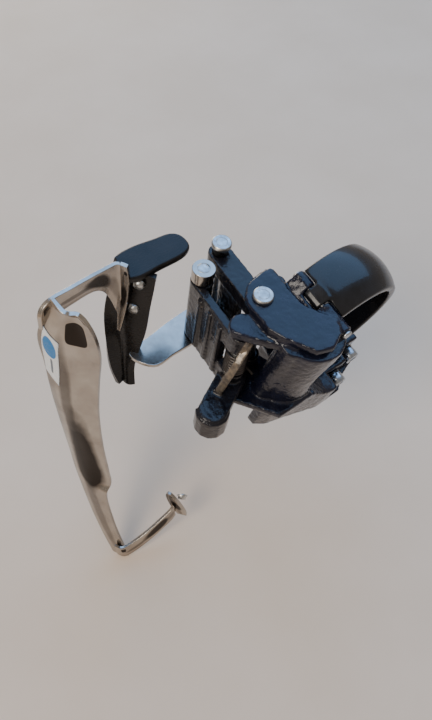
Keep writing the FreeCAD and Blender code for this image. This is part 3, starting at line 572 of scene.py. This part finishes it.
# ------------------------------------------------------------------ cage inner plate
def ear_row(y_at, top, bottom, bend_share=0.0, sink=0.0):
    """A row across the ear, on its middle surface, from its top edge to its bottom edge."""
    mid = EAR_FRONT - CAGE_EAR / 2
    row = []
    for share in (0, 1 / 6, 1 / 3, 1 / 2, 2 / 3, 5 / 6, 1, 1.001, 1.002):
        slide = bend_share * (share - 0.5) * 7.6
        depth = sink * (0.55 + 0.45 * min(share, 1.0))
        row.append(at_pin(y_at + slide, top + (bottom - top) * share, mid - depth))
    return row


def plate_row(x, points, flange=None, front=()):
    """A row across the plate at one x: (y, z) from the top edge down, then the flange."""
    middle = spline([(y, z) for y, z in points], 2)
    picks = middle if len(middle) == 7 else middle[:7]
    row = [Vector((x, y, z)) for y, z in picks]
    end = row[-1]
    if flange:
        (y_1, z_1), (y_2, z_2) = flange
        row += [Vector((x, y_1, z_1)), Vector((x, y_2, z_2))]
    else:
        row += [end + Vector((0, 0.02, -0.01)), end + Vector((0, 0.04, -0.02))]
    return row


INNER_ROWS = [
    (-2.0, [(-50.6, 32.2), (-46.0, 26.2), (-42.2, 20.0), (-43.6, 14.2)], None),
    (-10.0, [(-52.6, 29.8), (-48.4, 24.0), (-44.2, 18.0), (-45.0, 12.2)], None),
    (-17.0, [(-53.5, 27.6), (-50.0, 20.4), (-46.4, 12.6), (-44.0, 5.0)], None),
    (-19.8, [(-53.8, 26.6), (-50.6, 18.8), (-46.8, 10.8), (-43.9, 2.6)], ((-41.8, 1.2), (-39.6, 0.2))),
    (-31.0, [(-55.6, 22.3), (-53.2, 14.4), (-50.0, 6.0), (-46.8, -1.6)], ((-44.4, -3.2), (-42.4, -4.6))),
    (-41.0, [(-53.2, 13.6), (-52.6, 7.2), (-51.2, 0.2), (-49.0, -6.2)], ((-46.4, -7.6), (-44.2, -8.9))),
    (-54.0, [(-53.2, -1.6), (-52.2, -5.2), (-50.8, -9.2), (-49.0, -13.2)], ((-47.0, -14.4), (-45.0, -15.4))),
    (-64.0, [(-53.0, -13.2), (-51.8, -15.2), (-50.2, -17.0), (-48.4, -18.8)], ((-46.6, -20.0), (-44.8, -21.2))),
    (-69.6, [(-51.8, -19.4), (-50.8, -20.8), (-49.6, -22.0), (-48.2, -23.2)], ((-46.4, -24.0), (-44.6, -24.8))),
    (-71.0, [(-50.6, -21.6), (-50.0, -22.2), (-49.2, -22.9), (-48.2, -23.6)], ((-47.0, -24.2), (-46.0, -24.6))),
]


def groove(x, share):
    """How deep the pressed hollow in the plate is, at a share of the way down."""
    if x > 13.5 or x < -22:
        return 0.0
    centre = 0.55 + 0.10 * (x / 20.0)
    width = 0.17
    ends = min(1.0, (13.5 - x) / 6.0) * min(1.0, (x + 22) / 10.0)
    return 1.5 * ends * math.exp(-((share - centre) / width) ** 2)


def inner_plate():
    rows = []
    tip = ((-14.95, 26.4, 24.8), (-15.3, 28.2, 23.1), (-16.3, 29.9, 21.4), (-18.0, 31.5, 19.9),
           (-20.2, 32.6, 19.1), (-23.0, 33.3, 18.8), (-27.0, 33.4, 19.2), (-31.0, 33.5, 20.6),
           (-35.0, 33.6, 21.4))
    for y_at, top, bottom in tip:
        rows.append(ear_row(y_at, top, bottom))
    rows.append(ear_row(-39.2, 33.5, 21.3, 0.3, 0.05))
    rows.append(ear_row(-42.8, 33.3, 21.4, 0.6, 0.35))
    rows.append(ear_row(-45.2, 33.0, 21.8, 0.9, 1.00))
    bend_top, bend_bottom = (-51.0, 32.8, 15.2), (-43.2, 23.0, 15.2)
    row = []
    for share in (0, 1 / 6, 1 / 3, 1 / 2, 2 / 3, 5 / 6, 1, 1.001, 1.002):
        y_at = bend_top[0] + (bend_bottom[0] - bend_top[0]) * share
        q_at = bend_top[1] + (bend_bottom[1] - bend_top[1]) * share
        row.append(at_pin(y_at + 1.6, q_at, 15.0 - 0.6 * min(share, 1.0)))
    rows.append(row)
    front_plate = (
        (8.0, [(-49.5, 34.5), (-46.3, 30.0), (-43.1, 25.2), (-42.4, 20.6)]),
        (4.0, [(-49.6, 33.7), (-45.6, 28.4), (-42.2, 22.6), (-42.4, 16.6)]),
    )
    for x, points in front_plate:
        rows.append(plate_row(x, points))
    for x, points, flange in INNER_ROWS:
        rows.append(plate_row(x, points, flange))
    for row in rows:
        if abs(row[0].y) < 48.5:
            continue
        for k in range(7):
            row[k] += Vector((0.1, 0.92, 0.37)) * groove(row[k].x, k / 6)
    slot_outline = spline([(-23.8, -51, 19.4), (-27.4, -51, 19.2), (-35.0, -51, 15.6), (-43.2, -51, 8.2),
                           (-46.2, -51, 4.4), (-43.4, -51, 2.6), (-35.4, -51, 4.8), (-29.8, -51, 10.0),
                           (-25.2, -51, 16.0)], 5, True)
    tool = prism("slot_tool", slot_outline, Y_AXIS, 14)
    plate = sheet_piece("cage_inner_plate_pressed", rows, 4, 5 if FINE else 3, SHEET, "cage",
                        NICKEL, 0.25, [tool])
    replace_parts(plate, "cage_inner_plate")
    rear = [(-52.0, 26.9), (-42.0, 29.2), (-33.0, 30.6), (-24.0, 31.0), (-18.4, 29.4), (-16.6, 25.6),
            (-18.4, 21.8), (-24.0, 20.2), (-31.0, 19.6), (-40.0, 19.5), (-48.0, 19.4)]
    flat_piece("cage_rear_ear", rear, EAR_BACK - CAGE_EAR, CAGE_EAR, "cage", NICKEL)
    turned("cage_pin_hub", [(2.1, 0.2), (3.3, 0.2), (3.3, 4.5)], at_pin(*AXIS_D, 11.4), P_AXIS, "cage",
           NICKEL, 48, 0.2)
    return plate


def flat_piece(name, outline, p_start, thickness, body, material, edge=0.25):
    """A flat plate square to the pins, from a smooth outline in (y, q)."""
    smooth = spline([(y, q, 0) for y, q in outline], 5, True)
    count = len(smooth)
    verts = [at_pin(v.x, v.y, p_start) for v in smooth]
    verts += [at_pin(v.x, v.y, p_start + thickness) for v in smooth]
    faces = [tuple(reversed(range(count))), tuple(range(count, 2 * count))]
    for k in range(count):
        other = (k + 1) % count
        faces.append((k, other, other + count, k + count))
    obj = add_object(name, mesh_from(name, verts, faces), body, material)
    bevel(obj, edge, 3, 50)
    return bake(obj)


# ------------------------------------------------------------------ cage outer plate
OUTER_ROWS = [
    (17.2, [(-72.0, 34.2), (-71.9, 32.6), (-71.8, 31.0), (-71.6, 29.6), (-71.0, 28.6), (-69.6, 27.8),
            (-68.9, 27.0)]),
    (15.4, [(-72.9, 34.1), (-72.5, 32.4), (-72.1, 30.8), (-71.5, 29.2), (-69.6, 28.2), (-68.5, 27.2),
            (-68.0, 25.4)]),
    (12.0, [(-74.4, 33.9), (-73.9, 32.2), (-73.2, 30.5), (-71.9, 29.0), (-69.6, 27.6), (-68.4, 25.4),
            (-67.2, 22.4)]),
    (4.5, [(-76.8, 33.4), (-76.0, 31.2), (-74.8, 29.0), (-73.2, 27.0), (-71.2, 25.0), (-68.8, 22.6),
           (-66.9, 19.4)]),
    (-7.5, [(-76.8, 30.6), (-76.2, 28.3), (-75.2, 26.2), (-73.8, 24.0), (-72.0, 22.0), (-70.0, 19.9),
            (-68.2, 17.0)]),
    (-20.5, [(-77.1, 27.0), (-76.8, 24.7), (-76.1, 22.5), (-75.0, 20.3), (-73.6, 18.2), (-71.8, 16.2),
             (-70.0, 13.4)]),
    (-34.5, [(-77.2, 22.1), (-77.1, 19.6), (-76.6, 17.2), (-75.8, 14.8), (-74.7, 12.5), (-73.1, 10.4),
             (-71.4, 7.8)]),
    (-47.5, [(-77.6, 15.6), (-77.6, 13.2), (-77.2, 10.9), (-76.4, 8.6), (-75.2, 6.5), (-73.6, 4.6),
             (-71.9, 2.2)]),
    (-52.5, [(-78.1, 12.3), (-78.0, 10.2), (-77.6, 8.2), (-77.0, 6.0), (-76.0, 4.0), (-74.2, 2.2),
             (-72.2, 0.0)]),
    (-55.5, [(-78.3, 10.1), (-78.2, 8.0), (-77.9, 6.0), (-77.4, 4.0), (-76.8, 2.0), (-75.9, 0.2),
             (-74.6, -1.5)]),
    (-66.5, [(-79.1, 0.2), (-78.9, -1.2), (-78.5, -2.6), (-78.0, -4.1), (-77.4, -5.6), (-76.7, -7.1),
             (-75.9, -8.6)]),
    (-74.0, [(-79.4, -8.0), (-79.1, -9.1), (-78.7, -10.2), (-78.2, -11.3), (-77.5, -12.4), (-76.8, -13.5),
             (-76.0, -14.6)]),
    (-80.3, [(-79.2, -15.4), (-78.9, -16.2), (-78.4, -17.0), (-77.8, -17.8), (-77.1, -18.6), (-76.4, -19.4),
             (-75.7, -20.0)]),
]


def outer_plate():
    rows = [[Vector((x, y + SHEET / 2, z)) for y, z in points] for x, points in OUTER_ROWS]
    plate = sheet_piece("cage_outer_plate_pressed", rows, 4, 6 if FINE else 3, SHEET, "cage",
                        NICKEL_OUTER, 0.25)
    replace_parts(plate, "cage_outer_plate")
    bridge = []
    for y_at, x_back, x_front, z_back, z_front in (
            (-76.0, 7.6, 13.0, 32.4, 32.8), (-74.9, 8.2, 15.2, 33.2, 33.8), (-72.4, 8.8, 16.8, 33.8, 34.3),
            (-66.0, 9.8, 17.2, 34.3, 34.6), (-60.0, 10.4, 17.2, 34.5, 35.0), (-57.4, 9.0, 17.2, 34.5, 35.1),
            (-54.6, 4.0, 17.2, 34.2, 35.2), (-52.4, -3.0, 17.0, 32.6, 35.3), (-51.2, -7.0, 16.6, 30.6, 34.9)):
        row = []
        for share in (0, 0.25, 0.5, 0.75, 1):
            row.append(Vector((x_back + (x_front - x_back) * share, y_at,
                               z_back + (z_front - z_back) * share)))
        bridge.append(row)
    sheet_piece("cage_front_bridge", bridge, 3, 5, SHEET, "cage", NICKEL_OUTER, 0.3)
    flap_rows = []
    for x, points in (
            (16.6, [(-51.2, 34.9), (-50.6, 34.1), (-50.0, 33.2)]),
            (13.5, [(-51.1, 34.7), (-50.3, 33.7), (-49.6, 32.7)]),
            (9.5, [(-51.2, 34.3), (-50.4, 33.2), (-49.6, 32.0)]),
            (4.0, [(-51.5, 33.4), (-50.8, 32.3), (-50.0, 31.1)]),
            (-2.0, [(-52.2, 31.8), (-51.7, 30.8), (-51.1, 29.9)]),
            (-8.2, [(-53.6, 29.2), (-53.4, 28.7), (-53.2, 28.3)])):
        flap_rows.append([Vector((x, y, z)) for y, z in points])
    sheet_piece("cage_front_flap", flap_rows, 4, 5, SHEET, "cage", NICKEL_OUTER, 0.3)
    tail = []
    for y_at, x_at, z_at in ((-78.2, -79.6, -17.2), (-76.6, -80.4, -19.2), (-73.8, -79.8, -19.8),
                             (-66.0, -77.0, -19.8), (-60.0, -74.6, -19.2), (-57.0, -73.0, -18.8),
                             (-55.2, -71.4, -18.2)):
        tail.append([Vector((x_at + 5.0 * share, y_at, z_at + 2.4 * share)) for share in (0, 0.33, 0.67, 1)])
    sheet_piece("cage_tail_bridge", tail, 3, 5, SHEET, "cage", NICKEL_OUTER, 0.3)
    tab = []
    for x, y_top, z_top, y_low, z_low in ((-62.4, -55.2, -11.6, -54.6, -12.6), (-63.4, -55.6, -11.4, -54.0, -14.6),
                                          (-65.6, -55.6, -12.6, -53.2, -17.2), (-68.6, -55.2, -15.2, -52.4, -19.6),
                                          (-71.0, -54.4, -18.4, -52.0, -20.8)):
        tab.append([Vector((x, y_top + (y_low - y_top) * share, z_top + (z_low - z_top) * share))
                    for share in (0, 0.33, 0.67, 1)])
    sheet_piece("cage_tail_tab", tab, 3, 5, SHEET, "cage", NICKEL_OUTER, 0.3)
    return plate


def label(plate):
    """The film on the outer plate, a patch of the plate's own grid lifted by a hair."""
    corners = [(9.2, 32.4), (5.5, 27.6), (-13.5, 24.4), (-9.7, 29.4)]
    rows = []
    steps = 12
    for i in range(steps + 1):
        row = []
        for j in range(5):
            down, over = i / steps, j / 4
            top = Vector(corners[0]).lerp(Vector(corners[3]), down)
            low = Vector(corners[1]).lerp(Vector(corners[2]), down)
            x, z = top.lerp(low, over)
            start = Vector((x, -95.0, z)) * MM
            hit, place, _, _ = plate.ray_cast(start, Y_AXIS)
            if not hit:
                raise ValueError("the label is off the plate")
            row.append(place / MM - Y_AXIS * 0.16)
        rows.append(row)
    verts, faces, wide = grid(rows, 3, 2)
    mesh = mesh_from("label", verts, faces)
    uv = mesh.uv_layers.new(name="patch")
    long = len(verts) // wide
    for loop in mesh.loops:
        index = loop.vertex_index
        uv.data[loop.index].uv = ((index % wide) / (wide - 1), (index // wide) / (long - 1))
    obj = add_object("label_patch_film", mesh, "cage", LABEL_FILM)
    solid = obj.modifiers.new("solid", "SOLIDIFY")
    solid.thickness = 0.08 * MM
    solid.offset = 0.0
    bake(obj)
    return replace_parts(obj, "label_patch")


# ------------------------------------------------------------------ bracket, band, links, guard
def pin_disc(y, q, p_start, p_end, radius):
    """A short solid disc square to the pins."""
    ring = []
    for k in range(20):
        angle = math.pi * k / 10
        for p in (p_start, p_end):
            ring.append(at_pin(y + radius * math.cos(angle), q + radius * math.sin(angle), p))
    return hull(ring)


def ring_fill(start, stop, low, high, crown=22.0, drop=0.6):
    """A stretch of the ring's wall between two azimuths, a little inside its true faces."""
    corners = []
    for azimuth in (start, (start + stop) / 2, stop):
        for height in (low, (low + high) / 2, high):
            outer = crown - drop * (height / 8.4) ** 2
            for radius in (18.0, outer):
                angle = math.radians(azimuth)
                corners.append((radius * math.cos(angle), radius * math.sin(angle), height))
    return hull(corners)


def bracket():
    gusset = hull([(15.0, -16.2, 12.0), (12.0, -19.0, 11.6), (16.4, -17.0, 8.0), (12.0, -17.4, -6.0),
                   (17.0, -18.5, -6.0), (9.0, -20.6, 8.0), (9.0, -20.6, -6.0), (13.0, -22.0, 6.0),
                   (16.8, -22.0, -4.0)])
    shoulder = hull([at_pin(*point) for point in (
        (-21.0, 13.2, 12.6), (-21.0, 13.2, 15.0), (-15.2, 13.8, 13.4), (-15.2, 13.8, 15.1),
        (-12.9, 8.5, 14.6), (-12.9, 8.5, 15.3), (-19.0, 2.0, 12.6), (-14.0, 2.0, 15.0))])
    cheek = hull([(16.0, -26.5, -6.0), (16.2, -17.0, -14.0), (15.6, -12.5, -12.6), (17.0, -14.0, -9.0),
                  (6.0, -27.6, -7.0), (6.0, -22.0, -14.6), (6.0, -18.6, -14.0), (9.5, -16.4, -9.0),
                  (-10.0, -27.4, -8.0), (-10.0, -22.0, -14.8), (-10.0, -18.8, -14.0), (-10.0, -21.0, -5.0)])
    piece = cast_piece("bracket_casting", "clamp_bracket", 0.40, 9, "bracket",
                       BRACKET_PAINT, [gusset, shoulder, cheek, pin_disc(*AXIS_C, 14.0, 14.7, 3.4),
                                       ring_fill(-46.0, -29.8, 3.3, 8.4), ring_fill(-62.0, -45.0, 3.3, 8.4),
                                       ring_fill(-46.0, -29.8, -8.4, -3.3),
                                       ring_fill(-62.0, -45.0, -8.4, -3.3),
                                       ring_fill(-62.0, -40.4, -3.4, 3.4)], 0.10, 1.7)
    return piece


def guard():
    """The moulded guard: a rounded bar behind the front ear and a strip over the plate's edge."""
    bar = [(-49.8, 31.0), (-50.2, 36.0), (-48.0, 39.2), (-43.0, 39.9), (-36.0, 39.1), (-30.6, 38.3),
           (-28.4, 36.2), (-28.4, 31.8), (-31.0, 30.0), (-40.0, 29.6), (-47.4, 29.6)]
    piece = flat_piece("guard_bar", bar, 13.4, 2.5, "cage", GUARD_BLACK, 0.85)
    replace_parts(piece, "plate_guard")
    rows = []
    for x, y_low, z_low, lean, sink, y_high, z_high in (
            (9.6, -46.9, 34.9, 3.3, 4.8, -49.0, 41.0), (5.0, -48.2, 34.0, 3.9, 4.8, -50.0, 40.4),
            (-2.0, -49.8, 32.2, 3.8, 4.8, -51.4, 39.2), (-10.0, -51.8, 29.8, 3.8, 4.8, -54.4, 36.2),
            (-19.5, -52.8, 26.9, 2.2, 3.4, -57.0, 30.6), (-27.0, -53.8, 24.2, 1.8, 1.6, -57.8, 26.4),
            (-32.6, -54.6, 21.4, 1.6, 1.4, -57.2, 22.6)):
        rows.append([Vector((x, y_low + 1.6 + lean, z_low - sink)), Vector((x, y_low + 1.7, z_low - 0.6)),
                     Vector((x, y_low + 0.9, z_low + 1.6)), Vector((x, y_high + 1.1, z_high))])
    strip = sheet_piece("guard_strip", rows, 4, 5, 1.9, "cage", GUARD_BLACK, 0.6)
    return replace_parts(strip, "plate_guard")


def build_castings():
    bracket()
    cast_piece("band_half", "clamp_band", 0.34, 5, "band", BAND_PAINT,
               [ring_fill(-38.2, -25.5, -2.7, 2.7, 21.9)])
    cast_piece("inner_link_casting", "inner_link", 0.3, 4, "link_inner", LINK_PAINT, (),
               0.08, 1.5)
    front, middle, rear = (-29.6, 1.2, 11.0), (-37.0, -1.1, 4.6), (-40.8, 0.2, -10.2)
    web = []
    for ends in ((front, middle), (middle, rear)):
        corners = []
        for y, q, p in ends:
            for wide in (0, 1):
                for deep in (0, 1):
                    corners.append(at_pin(y + 0.9 * wide + 0.6 * deep, q - 2.1 * wide + 0.5 * deep,
                                          p - 1.3 * deep))
        web.append(hull(corners))
    arm = (AXIS_C[0] - 12.0, AXIS_C[1] - 6.2)
    web.append(pin_disc(*arm, -10.9, -9.9, 3.4))
    for k in range(7):
        corners = []
        for step in (k, k + 1):
            angle = math.radians(135 + 30 * step)
            for radius in (4.3, 5.1):
                for p in (-19.2, -10.8):
                    corners.append(at_pin(arm[0] + radius * math.cos(angle),
                                          arm[1] + radius * math.sin(angle), p))
        web.append(hull(corners))
    cast_piece("outer_link_casting", "outer_link", 0.3, 4, "link_outer", LINK_PAINT, web,
               0.06, 1.5)


# ------------------------------------------------------------------ pins, screws, spring
def rivet_head(name, node, axis, p_face, body, forward=True):
    """A pin with a peened head: a domed rim, a shallow ring and a flat button."""
    low, high = EAR_BACK - 3.0, p_face
    head = [(2.0, 0.0), (2.86, 0.0), (2.9, 0.5), (2.86, 1.0), (2.7, 1.28), (2.45, 1.38), (2.2, 1.36),
            (1.95, 1.22), (1.75, 1.24), (1.6, 1.34), (1.3, 1.42), (0.6, 1.46), (0.05, 1.47)]
    shaft = [(0.05, -31.0), (2.0, -31.0)] if forward else [(0.05, -4.0), (2.0, -4.0)]
    direction = P_AXIS if forward else -P_AXIS
    origin = at_pin(axis[0], axis[1], p_face)
    obj = turned(name, shaft + head, origin, direction, body, RIVET_ZINC, 64)
    return obj


def pins():
    front = rivet_head("inner_link_rivet", "inner_link_pin", AXIS_A, EAR_FRONT, "bracket")
    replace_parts(front, "inner_link_pin")
    rivet_head("inner_link_rivet_tail", "inner_link_pin", AXIS_A, EAR_BACK - BRACKET_EAR, "bracket", False)
    front = rivet_head("cage_rivet", "cage_inner_pin", AXIS_B, EAR_FRONT, "cage")
    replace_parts(front, "cage_inner_pin")
    rivet_head("cage_rivet_tail", "cage_inner_pin", AXIS_B, EAR_BACK - CAGE_EAR, "cage", False)
    for node, axis, back, front_p, body in (
            ("outer_link_pin", AXIS_C, EAR_BACK - BRACKET_EAR, 13.8, "bracket"),
            ("cage_outer_pin", AXIS_D, EAR_BACK - CAGE_EAR, EAR_FRONT - CAGE_EAR - 0.1, "cage")):
        length = front_p - back
        profile = [(0.05, -1.46), (1.3, -1.42), (1.75, -1.24), (1.95, -1.22), (2.2, -1.36), (2.7, -1.28),
                   (2.9, -0.5), (2.86, 0.0), (2.0, 0.0), (2.0, length - 0.25), (1.75, length),
                   (0.05, length)]
        obj = turned(node + "_turned", profile, at_pin(axis[0], axis[1], back), P_AXIS, body,
                     RIVET_ZINC)
        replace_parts(obj, node)


def threaded(radius, start, stop, pitch):
    """A thread's profile as rings, close enough to a helix at this size."""
    points = []
    height = start
    while height < stop - pitch / 2:
        points += [(radius - 0.25, height), (radius, height + pitch * 0.35), (radius, height + pitch * 0.5),
                   (radius - 0.25, height + pitch * 0.85)]
        height += pitch
    return points


def screws():
    for node, at, top, under, body in (("low_limit_screw", (-25.0, 3.4), -7.0, -13.8, "low_screw"),
                                       ("high_limit_screw", (-25.0, 13.4), -4.4, -9.4, "high_screw")):
        length = top - under
        profile = [(0.05, 0.0), (1.4, 0.0)] + threaded(1.75, 0.1, length - 0.2, 0.7)
        profile += [(1.75, length), (2.35, length), (2.6, length + 0.25), (2.6, length + 4.0),
                    (2.35, length + 4.3), (1.9, length + 4.4), (0.05, length + 4.4)]
        screw = turned(node + "_turned", profile, (at[0], at[1], top), -Z_AXIS, body,
                       SCREW_ZINC, 48)
        arms = []
        for angle in (0.4, 0.4 + math.pi / 2):
            way = Vector((math.cos(angle), math.sin(angle), 0))
            side = Vector((-way.y, way.x, 0))
            centre = Vector((at[0], at[1], under - 4.4))
            outline = [centre + way * 1.8 + side * 0.4, centre - way * 1.8 + side * 0.4,
                       centre - way * 1.8 - side * 0.4, centre + way * 1.8 - side * 0.4]
            arms.append(prism("cross_tool", outline, Z_AXIS, 1.5))
        cut_with(screw, arms)
        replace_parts(screw, node)
    for at, low, length, name in (((-25.0, 3.4), -11.6, 3.0, "low"), ((-25.0, 13.4), -7.2, 2.0, "high")):
        sleeve = turned("sleeve_" + name, [(1.82, 0.1), (2.2, 0.0), (2.42, 0.2), (2.42, length - 0.2),
                                           (2.2, length), (1.82, length - 0.1)],
                        (at[0], at[1], low), Z_AXIS, "bracket", SLEEVE_NYLON, 48)
        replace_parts(sleeve, "limit_screw_sleeves")
    hex_bolt("clamp_bolt_turned", "clamp_bolt", (-26.2, -12.0, 0), Y_AXIS, 2.5, 18.0, 4.2, 4.6, 2.3, "bolt")
    arm = (AXIS_C[0] - 12.0, AXIS_C[1] - 6.2)
    hex_bolt("cable_bolt_turned", "cable_bolt", at_pin(arm[0], arm[1], -11.0), -P_AXIS, 2.5, 4.9, 4.0, 3.4,
             2.3, "cable_clamp")
    washer = []
    for k in range(8):
        angle = math.pi * k / 4
        washer.append((arm[0] + 3.7 * math.cos(angle), arm[1] + 3.7 * math.sin(angle)))
    plate = flat_piece("cable_washer_pressed", washer, -15.9, 1.6, "cable_clamp", SCREW_ZINC, 0.3)
    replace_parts(plate, "cable_washer")
    low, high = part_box("clamp_hinge_pin")
    centre = (low + high) / 2 / MM
    base = low.z / MM
    tall = (high.z - low.z) / MM
    pin = turned("hinge_pin_turned", [(0.05, 0.0), (1.3, 0.0), (1.6, 0.25), (1.6, 0.9), (0.9, 0.9),
                                      (0.9, tall - 0.5), (1.4, tall - 0.45), (1.2, tall - 0.05),
                                      (0.05, tall)],
                 (centre.x, centre.y, base), Z_AXIS, "bracket", RIVET_ZINC, 40)
    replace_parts(pin, "clamp_hinge_pin")


def cut_with(obj, tools):
    for tool in tools:
        cut = obj.modifiers.new("cut", "BOOLEAN")
        cut.operation = "DIFFERENCE"
        cut.solver = "EXACT"
        cut.object = tool
    bevel(obj, 0.12, 2, 45)
    bake(obj)
    for tool in tools:
        bpy.data.objects.remove(tool)
    return obj


def hex_bolt(name, node, origin, direction, radius, length, head_radius, head_height, across, body):
    """A socket-head bolt with a chamfered rim, its thread below the head."""
    profile = [(0.05, 0.0), (radius - 0.5, 0.0)] + threaded(radius, 0.15, length - 1.0, 0.8)
    profile += [(radius, length - 0.6), (radius, length), (head_radius - 0.3, length),
                (head_radius, length + 0.3), (head_radius, length + head_height - 0.5),
                (head_radius - 0.5, length + head_height), (0.05, length + head_height)]
    bolt = turned(name, profile, origin, direction, body, SCREW_ZINC, 60)
    axis = Vector(direction).normalized()
    side = axis.orthogonal().normalized()
    other = axis.cross(side)
    top = Vector(origin) + axis * (length + head_height)
    outline = []
    for k in range(6):
        angle = math.pi * k / 3
        outline.append(top + (side * math.cos(angle) + other * math.sin(angle)) * across)
    cut_with(bolt, [prism("hex_tool", outline, axis, 2.6)])
    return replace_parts(bolt, node)


def return_spring():
    """A close coil round the outer link's pin, with two straight legs."""
    coil, wire, turns, pitch, start = 3.0, 1.1, 7.0, 1.3, -6.3
    points = [at_pin(AXIS_C[0] + coil, AXIS_C[1] - 5.0, start)]
    per_turn = 24
    for k in range(int(turns * per_turn) + 1):
        angle = 2 * math.pi * k / per_turn
        points.append(at_pin(AXIS_C[0] + coil * math.cos(angle), AXIS_C[1] + coil * math.sin(angle),
                             start + pitch * k / per_turn))
    points.append(at_pin(AXIS_C[0] + coil, AXIS_C[1] + 6.0, start + pitch * turns))
    curve = bpy.data.curves.new("spring", "CURVE")
    curve.dimensions = "3D"
    curve.bevel_depth = wire / 2 * MM
    curve.bevel_resolution = 4
    curve.use_fill_caps = True
    line = curve.splines.new("POLY")
    line.points.add(len(points) - 1)
    for point, place in zip(line.points, points):
        point.co = (*(place * MM), 1.0)
    obj = bpy.data.objects.new("spring_wire", curve)
    bpy.context.scene.collection.objects.link(obj)
    curve.materials.append(SPRING_STEEL)
    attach(obj, "bracket")
    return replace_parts(obj, "return_spring")


def flush_rivets():
    spots = (((7.0, -47.4, 30.9), (0.0, -0.79, -0.61)), ((-2.6, -49.2, 29.4), (0.0, -0.83, -0.56)),
             ((-65.4, -51.9, -16.0), (0.0, -0.66, -0.75)))
    profile = [(0.05, -1.75), (1.5, -1.7), (1.9, -1.4), (1.4, -1.0), (1.4, -0.3), (0.05, -0.2)]
    for count, (centre, out) in enumerate(spots):
        name = "tail_rivet_turned" if count == 2 else "bridge_rivet_%d" % count
        obj = turned(name, profile, centre, out, "cage", RIVET_ZINC, 40)
        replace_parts(obj, "tail_rivet" if count == 2 else "bridge_rivets")


# ------------------------------------------------------------------ floor, light, camera
TABLE_NORMAL = Vector((0.959, -0.037, 0.280)).normalized()


def plane(name, centre, normal, half, material):
    verts = [(-half, -half, 0), (half, -half, 0), (half, half, 0), (-half, half, 0)]
    mesh = bpy.data.meshes.new(name)
    mesh.from_pydata(verts, [], [(0, 1, 2, 3)])
    obj = bpy.data.objects.new(name, mesh)
    bpy.context.scene.collection.objects.link(obj)
    obj.location = centre
    obj.rotation_mode = "QUATERNION"
    obj.rotation_quaternion = Vector(normal).to_track_quat("Z", "Y")
    mesh.materials.append(material)
    return obj


def floor():
    reach = []
    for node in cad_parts.values():
        reach += [TABLE_NORMAL.dot(vert.co) for vert in node.data.vertices]
    rest = min(reach) - 0.0004
    centre = (CAD_BOX[0] + CAD_BOX[1]) / 2
    foot = centre - TABLE_NORMAL * (TABLE_NORMAL.dot(centre) - rest)
    plane("floor", foot, TABLE_NORMAL, 1.4, floor_paper())


def soft_light(name, direction, distance, size, power, colour):
    centre = (CAD_BOX[0] + CAD_BOX[1]) / 2
    data = bpy.data.lights.new(name, "AREA")
    data.shape = "SQUARE"
    data.size = size
    data.energy = power
    data.color = colour
    obj = bpy.data.objects.new(name, data)
    bpy.context.scene.collection.objects.link(obj)
    way = Vector(direction).normalized()
    obj.location = centre + way * distance
    obj.rotation_mode = "QUATERNION"
    obj.rotation_quaternion = way.to_track_quat("Z", "Y")
    return obj


def lights():
    world = bpy.data.worlds.new("studio")
    bpy.context.scene.world = world
    world.use_nodes = True
    world.node_tree.nodes["Background"].inputs[0].default_value = (1.0, 0.88, 0.76, 1)
    world.node_tree.nodes["Background"].inputs[1].default_value = 0.36
    soft_light("window", (0.775, 0.40, 0.49), 0.80, 1.10, 8.5, (0.23, 0.52, 1.0))
    soft_light("key", (0.66, -0.73, 0.02), 0.90, 0.42, 4.6, (1.0, 0.92, 0.82))
    soft_light("back_fill", (-0.2, 0.3, 0.95), 0.90, 0.50, 4.0, (1.0, 0.90, 0.76))


def camera():
    data = bpy.data.cameras.new("camera")
    data.sensor_fit = "AUTO"
    data.sensor_width = 36.0
    data.lens = 32.5
    data.clip_start = 0.005
    data.clip_end = 20
    obj = bpy.data.objects.new("camera", data)
    bpy.context.scene.collection.objects.link(obj)
    back = Vector((0.887, -0.400, -0.233)).normalized()
    right = Vector((0.201, 0.786, -0.584))
    right = (right - back * right.dot(back)).normalized()
    up = back.cross(right)
    turn = Matrix((right, up, back)).transposed()
    obj.matrix_world = Matrix.Translation(Vector((160.06, -110.66, -38.13)) * MM) @ turn.to_4x4()
    bpy.context.scene.camera = obj


inner_plate()
label(outer_plate())
guard()
build_castings()
pins()
screws()
return_spring()
flush_rivets()
floor()
lights()
camera()
